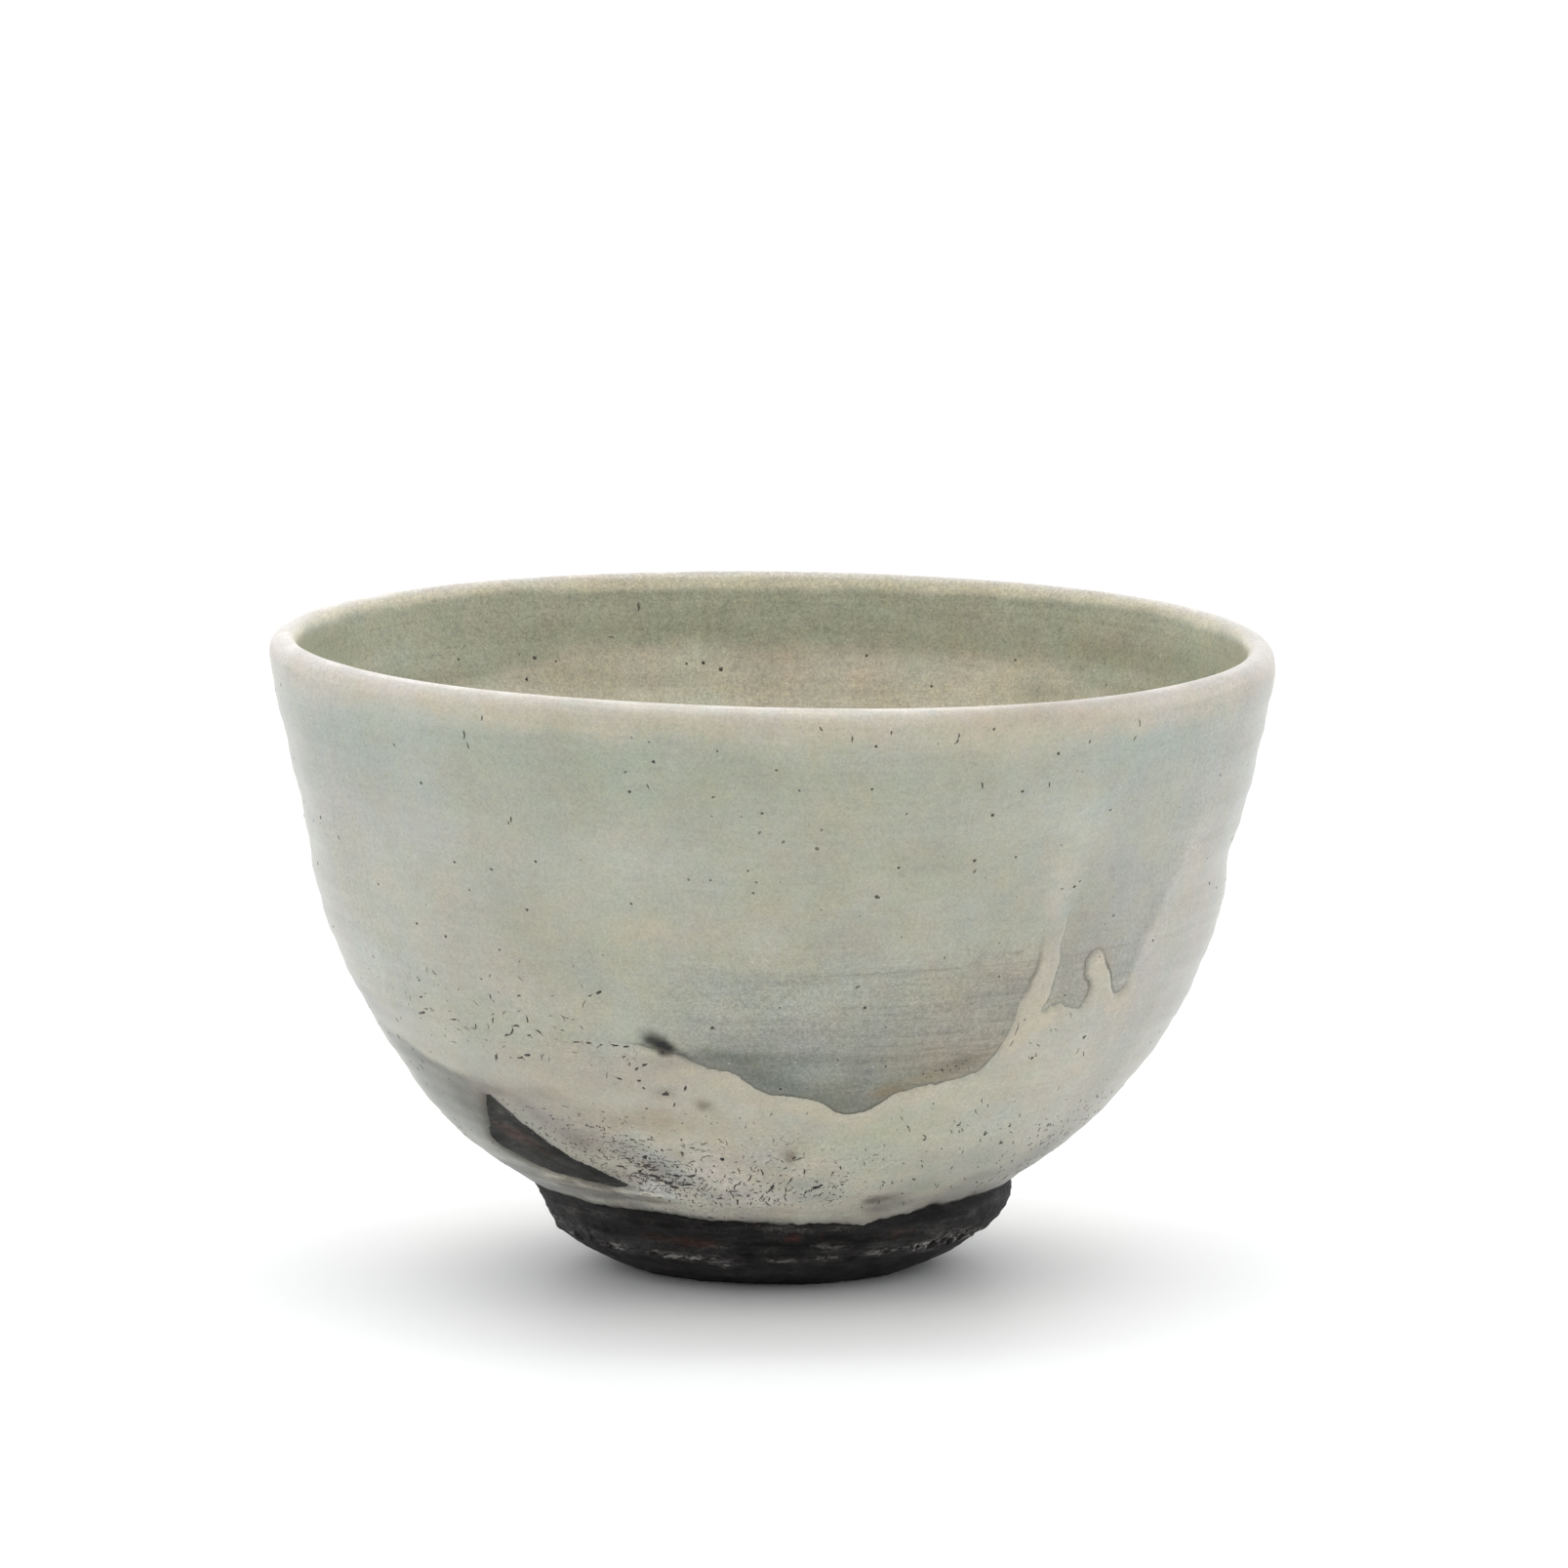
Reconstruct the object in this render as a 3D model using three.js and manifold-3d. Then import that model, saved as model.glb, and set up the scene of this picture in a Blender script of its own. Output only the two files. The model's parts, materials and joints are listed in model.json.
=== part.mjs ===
// Matcha bowl (chawan): a wheel-thrown stoneware tea bowl on a trimmed foot ring.
// Millimetres, +Z up. The origin is the centre of the circle that the foot stands on.
// The side that faces the guest is -Y.
//
// Five pieces, in the order in which the potter makes them:
//   clay_bowl    thrown wall and floor, dark stoneware
//   foot_ring    trimmed foot ring, bare clay, with a bevelled underside and a hollow
//   inner_glaze  coat poured inside the bowl
//   outer_glaze  coat poured over the outside with the bowl upside down, wrapping over the lip
//   slip_pour    thick cream pour on the lower wall, with fingers that ran towards the lip
//                and a crescent-shaped window of bare clay

import * as THREE from 'three';
import { mergeVertices } from 'three/addons/utils/BufferGeometryUtils.js';
import Module from 'manifold-3d';

// ---------------------------------------------------------------- driving dimensions
const RIM_RADIUS = 60.0;        // widest radius, just under the lip
const HEIGHT = 75.7;            // top of the lip above the table
const FOOT_JOINT_Z = 9.0;       // underside of the bowl, where the foot ring starts
const HOLLOW_RADIUS = 12.0;     // radius of the hollow under the foot
const REST_RADIUS = 17.0;       // outer radius of the flat face that touches the table
const FLOOR_Z = 13.5;           // inside floor at the centre
const COAT = 0.6;               // thickness of the glaze and slip coats
const GAP = 0.3;                // clearance between neighbouring pieces
const SEGMENTS = 48;            // facets round the axis

// Finished surface of the wall, from the lower glaze edge up to the lip. [radius, z]
const OUTSIDE = [
  [28.75, 9.35], [29.0, 10.0], [29.8, 11.0], [31.15, 12.0], [34.1, 14.0], [38.9, 18.0],
  [44.0, 24.0], [47.95, 30.0], [51.1, 36.0], [53.5, 42.0], [54.9, 48.0], [56.05, 55.0],
  [57.6, 61.5], [58.9, 67.0], [59.75, 71.0], [RIM_RADIUS, 73.2],
];
// Rounded lip, from outside to inside.
const LIP = [
  [59.75, 74.6], [59.1, 75.4], [58.2, HEIGHT], [57.3, 75.4], [56.75, 74.6],
];
// Finished inside surface, from the lip to the centre of the floor.
const INSIDE = [
  [56.4, 73.2], [56.0, 71.0], [55.2, 66.5], [53.7, 60.0], [51.6, 52.0], [49.4, 45.0],
  [46.3, 37.0], [42.3, 30.0], [37.0, 24.0], [30.6, 19.2], [22.5, 15.8], [12.0, 14.0],
];
// Foot ring, outside from the table up: bevel, ridge, then the trimmed wall.
const FOOT_OUTSIDE = [
  [REST_RADIUS, 0.0], [18.7, 0.5], [22.1, 2.0], [24.6, 3.4], [26.3, 4.6],
  [27.1, 6.0], [28.2, 8.0], [28.45, FOOT_JOINT_Z - GAP],
];

// The wall is not perfectly round: it leans a little towards -X at some heights. [z, shift in x]
const LEAN = [
  [0.0, -0.2], [9.0, -0.1], [10.5, -0.45], [12.5, -0.75], [18.0, -0.6], [24.0, -0.25],
  [30.0, -0.05], [39.0, -0.15], [45.0, -0.3], [50.0, -0.5], [57.0, -0.2], [63.0, -0.05],
  [70.0, -0.15], [76.0, -0.15],
];
// A shallow thumb dent on the +X side. The wall is pressed in here.
const DENT = { angle: 88, z: 49.5, halfAngle: 24, halfHeight: 6.5, depth: 0.45 };

// Upper edge of the cream pour round the bowl. Angle in degrees, 0 at the front (-Y),
// positive towards +X; z in mm.
const POUR_EDGE = [
  [-180.0, 33.0], [-168.0, 30.0], [-158.0, 31.5], [-148.5, 36.0], [-144.0, 47.0], [-141.0, 51.0],
  [-138.0, 47.0], [-134.5, 36.5], [-126.0, 32.0], [-112.0, 34.0], [-98.0, 38.5], [-82.0, 39.5],
  [-64.0, 37.5], [-48.0, 37.0], [-32.0, 36.0], [-20.0, 35.0], [-14.0, 33.6], [-8.0, 31.6],
  [-3.0, 29.2], [2.5, 28.4], [7.0, 26.6], [11.0, 25.6], [14.5, 26.4], [17.5, 28.4],
  [22.0, 29.3], [27.5, 30.0], [30.5, 31.6], [32.4, 35.6], [33.6, 41.0], [34.7, 48.0],
  [36.3, 53.5], [37.6, 49.0], [38.2, 43.5], [38.8, 39.5], [39.4, 37.2], [41.0, 37.6],
  [42.4, 37.0], [43.1, 40.6], [44.6, 43.6], [46.4, 43.0], [48.6, 40.6], [50.6, 37.9],
  [52.3, 38.4], [53.4, 44.0], [56.5, 49.0], [61.0, 54.0], [66.0, 57.0], [72.0, 55.0],
  [80.0, 46.0], [90.0, 40.5], [101.0, 38.5], [109.0, 43.5], [113.5, 50.0], [117.0, 44.0],
  [122.0, 36.0], [134.0, 31.5], [146.0, 30.0], [156.0, 33.5], [165.0, 36.5], [173.0, 35.0],
];
// Window of bare clay in the pour. [angle, z]
const CLAY_WINDOW = [
  [-49.6, 25.6], [-47.4, 24.6], [-44.6, 21.8], [-41.2, 19.4], [-37.4, 17.4], [-33.0, 15.6],
  [-29.6, 14.7], [-33.4, 14.3], [-39.0, 14.7], [-45.0, 15.5], [-51.0, 16.6], [-57.5, 18.2],
  [-55.0, 20.6], [-51.8, 23.4],
];

// ---------------------------------------------------------------- colours
const COLOURS = {
  clay_bowl: { color: 0x3b302c, roughness: 0.85, metalness: 0.0 },
  foot_ring: { color: 0x2d2625, roughness: 0.75, metalness: 0.0 },
  inner_glaze: { color: 0xa3a78f, roughness: 0.3, metalness: 0.0 },
  outer_glaze: { color: 0xb0b8a8, roughness: 0.3, metalness: 0.0 },
  slip_pour: { color: 0xc2bda6, roughness: 0.35, metalness: 0.0 },
};

// ---------------------------------------------------------------- profile helpers
const v2 = (p) => new THREE.Vector2(p[0], p[1]);

// Moves a polyline sideways by d, to its right as seen along its direction.
function offset(points, d) {
  return points.map((p, i) => {
    const a = points[Math.max(i - 1, 0)];
    const b = points[Math.min(i + 1, points.length - 1)];
    const t = new THREE.Vector2(b[0] - a[0], b[1] - a[1]).normalize();
    return [p[0] + t.y * d, p[1] - t.x * d];
  });
}

// The whole finished skin: up the outside, over the lip and down inside.
// Material lies on its left going up the outside, so a coat's back is at a negative offset.
const SKIN = [...OUTSIDE, ...LIP, ...INSIDE, [0, FLOOR_Z]];

// Back of the skin at a depth. The two ends keep their own planes: the edge over the foot
// stays level and the end on the axis stays on the axis.
function depthOf(depth) {
  const back = offset(SKIN, -depth);
  back[back.length - 1] = [0, FLOOR_Z - depth];
  return back;
}
const COAT_BACK = depthOf(COAT);
const CLAY_FACE = depthOf(COAT + GAP);

const N_OUT = OUTSIDE.length;
const N_LIP = LIP.length;
// The outer coat ends on the inside of the lip.
const SEAM = N_OUT + N_LIP + 1;

// ---------------------------------------------------------------- solids
const wasm = await Module();
wasm.setup();

function lathe(profile, segments = SEGMENTS) {
  return new THREE.LatheGeometry(profile.map(v2), segments).rotateX(Math.PI / 2);
}

function weld(geometry) {
  const g = geometry.index ? geometry.toNonIndexed() : geometry.clone();
  g.deleteAttribute('normal');
  g.deleteAttribute('uv');
  return mergeVertices(g, 1e-4);
}

// Drops the triangles that collapse on the axis, and turns the faces outwards.
function tidy(geometry) {
  const g = weld(geometry);
  const index = g.index.array;
  const pos = g.attributes.position;
  const kept = [];
  let volume = 0;
  const a = new THREE.Vector3();
  const b = new THREE.Vector3();
  const c = new THREE.Vector3();
  for (let i = 0; i < index.length; i += 3) {
    const [p, q, r] = [index[i], index[i + 1], index[i + 2]];
    if (p === q || q === r || r === p) continue;
    kept.push(p, q, r);
    a.fromBufferAttribute(pos, p);
    b.fromBufferAttribute(pos, q);
    c.fromBufferAttribute(pos, r);
    volume += a.dot(b.cross(c));
  }
  if (volume < 0) {
    for (let i = 0; i < kept.length; i += 3) [kept[i], kept[i + 1]] = [kept[i + 1], kept[i]];
  }
  g.setIndex(kept);
  return g;
}

function solid(geometry) {
  const g = tidy(geometry);
  return new wasm.Manifold(new wasm.Mesh({
    numProp: 3,
    vertProperties: new Float32Array(g.attributes.position.array),
    triVerts: new Uint32Array(g.index.array),
  }));
}

function geometryOf(manifold) {
  const mesh = manifold.getMesh();
  const g = new THREE.BufferGeometry();
  const stride = mesh.numProp;
  const count = mesh.vertProperties.length / stride;
  const position = new Float32Array(count * 3);
  for (let i = 0; i < count; i++) {
    for (let k = 0; k < 3; k++) position[3 * i + k] = mesh.vertProperties[stride * i + k];
  }
  g.setAttribute('position', new THREE.BufferAttribute(position, 3));
  g.setIndex(Array.from(mesh.triVerts));
  return g;
}

const DEG = Math.PI / 180;
const onWall = (angle, radius, z) => new THREE.Vector3(
  radius * Math.sin(angle * DEG), -radius * Math.cos(angle * DEG), z,
);

// The edge of the pour moved sideways by d mm along the wall, up for a positive d.
function shiftedEdge(d) {
  const radiusAt = 50;
  const n = POUR_EDGE.length;
  return POUR_EDGE.map((p, i) => {
    const a = POUR_EDGE[(i + n - 1) % n];
    const b = POUR_EDGE[(i + 1) % n];
    let da = b[0] - a[0];
    if (da < 0) da += 360;
    const t = new THREE.Vector2(da * DEG * radiusAt, b[1] - a[1]).normalize();
    return [p[0] - (t.y * d) / (DEG * radiusAt), p[1] + t.x * d];
  });
}

// A ring-shaped body that holds everything under the edge: a lathe with one column for each
// point of the edge, each column turned to its angle and cut off at its height.
function underEdge(d) {
  const edge = shiftedEdge(d);
  const n = edge.length;
  const rIn = 20;
  const rOut = 70;
  const zLow = 5;
  const g = tidy(lathe([[rIn, zLow], [rOut, zLow], [rOut, 30], [rIn, 30], [rIn, zLow]], n));
  const pos = g.attributes.position;
  const v = new THREE.Vector3();
  for (let i = 0; i < pos.count; i++) {
    v.fromBufferAttribute(pos, i);
    const column = ((Math.round((Math.atan2(v.x, -v.y) / (2 * Math.PI)) * n) % n) + n) % n;
    const [angle, z] = edge[column];
    const p = onWall(angle, Math.hypot(v.x, v.y), v.z < 20 ? zLow : z);
    pos.setXYZ(i, p.x, p.y, p.z);
  }
  return g;
}

// A flat outline in [angle, z], extruded and bent round the axis into a radial plug.
function plug(outline, rIn, rOut) {
  const k = 40 * DEG;
  const shape = new THREE.Shape(outline.map(([a, z]) => new THREE.Vector2(a * k, z)));
  const g = weld(new THREE.ExtrudeGeometry(shape, { depth: rOut - rIn, bevelEnabled: false }));
  const pos = g.attributes.position;
  for (let i = 0; i < pos.count; i++) {
    const p = onWall(pos.getX(i) / k, rIn + pos.getZ(i), pos.getY(i));
    pos.setXYZ(i, p.x, p.y, p.z);
  }
  return g;
}

// ---------------------------------------------------------------- the shared lean and dent
function lerpTable(table, z) {
  if (z <= table[0][0]) return table[0][1];
  for (let i = 1; i < table.length; i++) {
    if (z <= table[i][0]) {
      const t = (z - table[i - 1][0]) / (table[i][0] - table[i - 1][0]);
      return table[i - 1][1] + t * (table[i][1] - table[i - 1][1]);
    }
  }
  return table[table.length - 1][1];
}

function bell(t) {
  return Math.abs(t) >= 1 ? 0 : (1 + Math.cos(Math.PI * t)) / 2;
}

function warp(geometry) {
  const pos = geometry.attributes.position;
  for (let i = 0; i < pos.count; i++) {
    const x = pos.getX(i);
    const y = pos.getY(i);
    const z = pos.getZ(i);
    const r = Math.hypot(x, y);
    const share = Math.min(r / 25, 1); // nothing moves on the axis
    const angle = Math.atan2(x, -y) / DEG;
    const press = DENT.depth * bell((angle - DENT.angle) / DENT.halfAngle)
      * bell((z - DENT.z) / DENT.halfHeight) * share;
    const k = r > 1e-6 ? (r - press) / r : 1;
    pos.setXYZ(i, x * k + lerpTable(LEAN, z) * share, y * k, z);
  }
  pos.needsUpdate = true;
  return geometry;
}

// ---------------------------------------------------------------- the five pieces
// Thrown wall and floor. Its underside is level inside the foot, with a small raised
// turning point left at the centre.
const clayProfile = [
  [0, FOOT_JOINT_Z - 0.8], [2.2, FOOT_JOINT_Z - 0.5], [6.0, FOOT_JOINT_Z],
  [CLAY_FACE[1][0] - 0.4, FOOT_JOINT_Z], ...CLAY_FACE.slice(1),
];
const clayBowl = tidy(lathe(clayProfile));

// Foot ring: flat underside, bevel, ridge, trimmed wall and the hollow's slightly
// tapered wall.
const footProfile = [
  [HOLLOW_RADIUS, 0], ...FOOT_OUTSIDE,
  [HOLLOW_RADIUS - 0.8, FOOT_JOINT_Z - GAP], [HOLLOW_RADIUS, 0],
];
const footRing = tidy(lathe(footProfile));

// Inside coat, from the seam on the lip down to the axis and back.
const innerProfile = [
  ...COAT_BACK.slice(SEAM).reverse(),
  ...SKIN.slice(SEAM),
];
const innerGlaze = tidy(lathe(innerProfile));

// Outside shell, from the foot edge over the lip to the seam, before the pour is cut out.
const SEAM_OUT = SEAM - 1;
const toSeam = (curve) => {
  const a = curve[SEAM_OUT];
  const b = curve[SEAM];
  const length = Math.hypot(b[0] - a[0], b[1] - a[1]);
  const t = (length - GAP) / length;
  return [...curve.slice(0, SEAM), [a[0] + (b[0] - a[0]) * t, a[1] + (b[1] - a[1]) * t]];
};
const front = toSeam(SKIN);
const back = toSeam(COAT_BACK);
// The lower edge is a small rounded bead that hangs over the foot.
back[0] = [SKIN[0][0] - COAT, SKIN[0][1] + 0.25];
const shellProfile = [...front, ...back.reverse(), front[0]];
const shell = solid(lathe(shellProfile));

const pour = shell.intersect(solid(underEdge(-GAP / 2)));
const window3 = solid(plug(CLAY_WINDOW, 22, 62));
const slipPour = geometryOf(pour.subtract(window3));
const outerGlaze = geometryOf(shell.subtract(solid(underEdge(GAP / 2))));

// ---------------------------------------------------------------- the scene graph
function mesh(name, geometry) {
  const g = warp(geometry);
  g.computeVertexNormals();
  const m = new THREE.Mesh(g, new THREE.MeshStandardMaterial(COLOURS[name]));
  m.name = name;
  return m;
}

const bowl = new THREE.Group();
bowl.name = 'matcha_bowl';

const body = new THREE.Group();
body.name = 'body';
body.add(mesh('clay_bowl', clayBowl), mesh('foot_ring', footRing));

const coats = new THREE.Group();
coats.name = 'coats';
coats.add(
  mesh('inner_glaze', innerGlaze),
  mesh('outer_glaze', outerGlaze),
  mesh('slip_pour', slipPour),
);

bowl.add(body, coats);

export default bowl;
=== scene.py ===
import json
import math

import bpy
import numpy as np
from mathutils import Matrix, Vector, kdtree

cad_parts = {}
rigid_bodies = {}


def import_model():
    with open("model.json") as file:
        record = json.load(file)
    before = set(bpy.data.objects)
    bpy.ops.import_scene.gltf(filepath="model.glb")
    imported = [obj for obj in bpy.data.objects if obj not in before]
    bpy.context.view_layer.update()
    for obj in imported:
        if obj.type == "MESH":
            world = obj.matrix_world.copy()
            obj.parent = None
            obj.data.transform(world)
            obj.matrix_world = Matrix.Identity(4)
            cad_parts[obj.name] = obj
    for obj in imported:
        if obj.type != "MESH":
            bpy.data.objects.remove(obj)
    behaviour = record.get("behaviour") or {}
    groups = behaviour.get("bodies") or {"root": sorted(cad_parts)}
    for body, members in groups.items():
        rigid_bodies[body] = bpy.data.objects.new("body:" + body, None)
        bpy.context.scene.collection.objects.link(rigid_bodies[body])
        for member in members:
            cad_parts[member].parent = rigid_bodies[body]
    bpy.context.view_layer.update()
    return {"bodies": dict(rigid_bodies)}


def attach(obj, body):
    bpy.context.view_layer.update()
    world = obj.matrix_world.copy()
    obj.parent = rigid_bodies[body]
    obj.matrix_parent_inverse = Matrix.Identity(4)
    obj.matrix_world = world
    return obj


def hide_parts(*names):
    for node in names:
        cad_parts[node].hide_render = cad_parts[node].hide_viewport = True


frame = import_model()
MM = 0.001
rng = np.random.default_rng(7)


# ------------------------------------------------------------------ small maths
def lin(c):
    c = np.asarray(c, float) / 255.0
    return np.where(c <= 0.04045, c / 12.92, ((c + 0.055) / 1.055) ** 2.4)


def smooth(a, b, x):
    t = np.clip((x - a) / (b - a), 0, 1)
    return t * t * (3 - 2 * t)


def _hash(i, j, k, seed):
    h = (i * np.uint64(73856093)) ^ (j * np.uint64(19349663)) ^ (k * np.uint64(83492791))
    h = (h ^ np.uint64((seed * 2654435761) & 0xFFFFFFFF)) & np.uint64(0xFFFFFFFF)
    h = ((h ^ (h >> np.uint64(15))) * np.uint64(2246822519)) & np.uint64(0xFFFFFFFF)
    h = ((h ^ (h >> np.uint64(13))) * np.uint64(3266489917)) & np.uint64(0xFFFFFFFF)
    h = h ^ (h >> np.uint64(16))
    return h.astype(float) / 2147483647.5 - 1.0


def vnoise(P, seed):
    P = P + 4096.0
    f0 = np.floor(P)
    i = f0.astype(np.uint64)
    f = P - f0
    f = f * f * f * (f * (f * 6 - 15) + 10)
    out = np.zeros(len(P))
    for dx in (0, 1):
        wx = f[:, 0] if dx else 1 - f[:, 0]
        for dy in (0, 1):
            wy = f[:, 1] if dy else 1 - f[:, 1]
            for dz in (0, 1):
                wz = f[:, 2] if dz else 1 - f[:, 2]
                out += wx * wy * wz * _hash(
                    i[:, 0] + np.uint64(dx), i[:, 1] + np.uint64(dy), i[:, 2] + np.uint64(dz), seed
                )
    return out


def fbm(P, size, octaves=3, seed=1, rough=0.5):
    """Smooth noise of about -1 to 1 at points P in mm, with features of about that size."""
    total, amp, norm = np.zeros(len(P)), 1.0, 0.0
    q = np.asarray(P, float) / np.asarray(size, float)
    for o in range(octaves):
        total += amp * vnoise(q + 17.31 * o, seed + 101 * o)
        norm += amp
        amp *= rough
        q = q * 2.03
    return 1.6 * total / norm


def spline(points, step):
    """Natural cubic spline through points by chord length, resampled about every step."""
    p = np.array(points, float)
    t = np.concatenate([[0], np.cumsum(np.hypot(*np.diff(p, axis=0).T))])
    n = len(p)
    h = np.diff(t)
    A = np.zeros((n, n))
    b = np.zeros((n, 2))
    A[0, 0] = A[-1, -1] = 1
    for i in range(1, n - 1):
        A[i, i - 1], A[i, i], A[i, i + 1] = h[i - 1], 2 * (h[i - 1] + h[i]), h[i]
        b[i] = 6 * ((p[i + 1] - p[i]) / h[i] - (p[i] - p[i - 1]) / h[i - 1])
    m = np.linalg.solve(A, b)
    s = np.linspace(0, t[-1], max(8, int(round(t[-1] / step))))
    k = np.clip(np.searchsorted(t, s, side="right") - 1, 0, n - 2)
    hk = h[k][:, None]
    u, v = (t[k + 1] - s)[:, None], (s - t[k])[:, None]
    return (
        m[k] * u**3 / (6 * hk)
        + m[k + 1] * v**3 / (6 * hk)
        + (p[k] / hk - m[k] * hk / 6) * u
        + (p[k + 1] / hk - m[k + 1] * hk / 6) * v
    )


class Curve:
    """A meridian curve of (radius, height) with its length and its normal, to the right of its direction."""

    def __init__(self, points, step=0.05):
        self.p = spline(points, step)
        d = np.hypot(*np.diff(self.p, axis=0).T)
        self.u = np.concatenate([[0], np.cumsum(d)])
        t = np.gradient(self.p, self.u, axis=0)
        t /= np.linalg.norm(t, axis=1)[:, None]
        self.n = np.stack([t[:, 1], -t[:, 0]], 1)
        self.length = self.u[-1]

    def at(self, u):
        r = np.interp(u, self.u, self.p[:, 0])
        z = np.interp(u, self.u, self.p[:, 1])
        n = np.stack([np.interp(u, self.u, self.n[:, 0]), np.interp(u, self.u, self.n[:, 1])], -1)
        return r, z, n

    def u_at_z(self, z):
        return np.interp(z, self.p[:, 1], self.u)


# ------------------------------------------------------------------ the bowl's lines (mm)
WALL = [
    (27.75, 7.2), (28.15, 8.0), (28.5, 8.8), (28.65, 9.3), (29.0, 10.0), (29.8, 11.0),
    (31.13, 12.0), (32.66, 13.0), (34.08, 14.0), (36.73, 16.0), (38.95, 18.0), (40.78, 20.0),
    (44.0, 24.0), (47.95, 30.0), (51.1, 36.0), (53.45, 42.0), (54.85, 48.0), (56.0, 54.5),
    (57.5, 60.5), (58.8, 66.0), (59.6, 70.0), (60.0, 73.0),
]
LIP = [(59.92, 74.2), (59.4, 75.15), (58.25, 75.68), (57.25, 75.3), (56.68, 74.3)]
INSIDE = [
    (56.42, 73.2), (56.0, 71.0), (55.2, 66.5), (53.7, 60.0), (51.6, 52.0), (49.4, 45.0),
    (46.3, 37.0), (42.3, 30.0), (37.0, 24.0), (30.6, 19.2), (22.5, 15.8), (12.0, 14.0),
    (4.0, 13.5), (0.0, 13.5),
]
skin = Curve(WALL + LIP + INSIDE)
U_LIP = float(skin.u[np.argmax(skin.p[:, 1])])  # top of the lip
wall_mask = skin.u <= U_LIP
wall_z, wall_u = skin.p[wall_mask, 1], skin.u[wall_mask]


def wall_u_at(z):
    return np.interp(z, wall_z, wall_u)


def wall_r_at(z):
    return np.interp(z, wall_z, skin.p[wall_mask, 0])


LEAN = np.array([
    (0.0, -0.2), (9.0, -0.1), (10.5, -0.45), (12.5, -0.75), (18.0, -0.5), (24.0, -0.02),
    (30.0, 0.22), (39.0, 0.08), (45.0, -0.05), (50.0, -0.12), (57.0, -0.12), (63.0, -0.05),
    (70.0, -0.15), (76.0, -0.15),
])


def bell(t):
    return np.where(np.abs(t) < 1, (1 + np.cos(np.pi * np.clip(t, -1, 1))) / 2, 0)


def turn(deg, at):
    """Signed angle from at to deg, in -180..180."""
    return (deg - at + 180) % 360 - 180


def press(deg, z):
    """How far the potter's hands pressed the wall in, mm."""
    d = 0.50 * bell(turn(deg, 90) / 34) * bell((z - 49.4) / 6.6)
    d += 0.42 * bell(turn(deg, -84) / 60) * bell((z - 8.8) / 2.6)
    d += 0.18 * bell(turn(deg, 96) / 30) * bell((z - 40.0) / 6.0)
    d -= 0.22 * bell(turn(deg, 84) / 40) * bell((z - 57.5) / 7.0)
    d += 0.08 * bell(turn(deg, -92) / 30) * bell((z - 55.0) / 8.0)
    d += 0.45 * bell(turn(deg, 200) / 26) * bell((z - 46.0) / 9.0)
    d += 0.30 * bell(turn(deg, 150) / 20) * bell((z - 33.0) / 7.0)
    return d


# The rim is not level: it stands higher at the left front and lower at the right front.
RIM_RISE = np.array([
    (-180, -0.42), (-165, -0.38), (-150, -0.28), (-135, -0.14), (-120, 0.08), (-108, 0.30), (-96, 0.56),
    (-84, 0.76), (-72, 0.84), (-60, 0.76), (-48, 0.56), (-36, 0.34), (-24, 0.12), (-12, -0.16), (0, -0.48),
    (12, -0.80), (24, -1.06), (36, -1.20), (48, -1.22), (60, -1.18), (75, -1.10), (90, -1.0), (105, -0.85),
    (120, -0.68), (135, -0.55), (150, -0.48), (165, -0.44), (180, -0.42),
])


def place(deg, r, z):
    """Position in metres of a point given by angle, radius and height in mm."""
    a = np.radians(deg)
    share = np.minimum(r / 25.0, 1.0)
    z2 = z + smooth(45, 75, z) * (0.16 * np.sin(2 * a + 0.7) + 0.10 * np.sin(3 * a + 2.1))
    z2 = z2 + smooth(42, 75, z) * share * np.interp((deg + 180) % 360 - 180, RIM_RISE[:, 0], RIM_RISE[:, 1])
    r2 = r + share * smooth(20, 60, z) * (0.16 * np.cos(2 * a + 0.5) - 0.16 * np.cos(0.5))
    r2 = r2 + share * 0.32 * smooth(28, 52, z)
    x = r2 * np.sin(a) + np.interp(z, LEAN[:, 0], LEAN[:, 1]) * share
    return np.stack([x, -r2 * np.cos(a), z2], -1) * MM


def relief(deg, z, P):
    """Throwing marks and hand pressure of the outside, mm along the surface."""
    h = -press(deg, z)
    ring = z + deg / 360 * 6.5
    h += 0.075 * np.sin(2 * np.pi * ring / 6.5 + 1.2 * fbm(P, 30, 2, 11)) * smooth(12, 20, z)
    h += 0.03 * np.sin(2 * np.pi * ring / 2.3 + 2.0 * fbm(P, 18, 2, 12))
    h += 0.16 * fbm(P, 24, 2, 13) + 0.035 * fbm(P, 6, 2, 14)
    # a thin scratch left by the rib
    line = z - (43.4 + 0.8 * np.sin(np.radians(deg - 20)))
    h -= 0.05 * np.exp(-((line / 0.28) ** 2)) * smooth(-16, -4, deg) * (1 - smooth(70, 84, deg))
    return h


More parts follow.
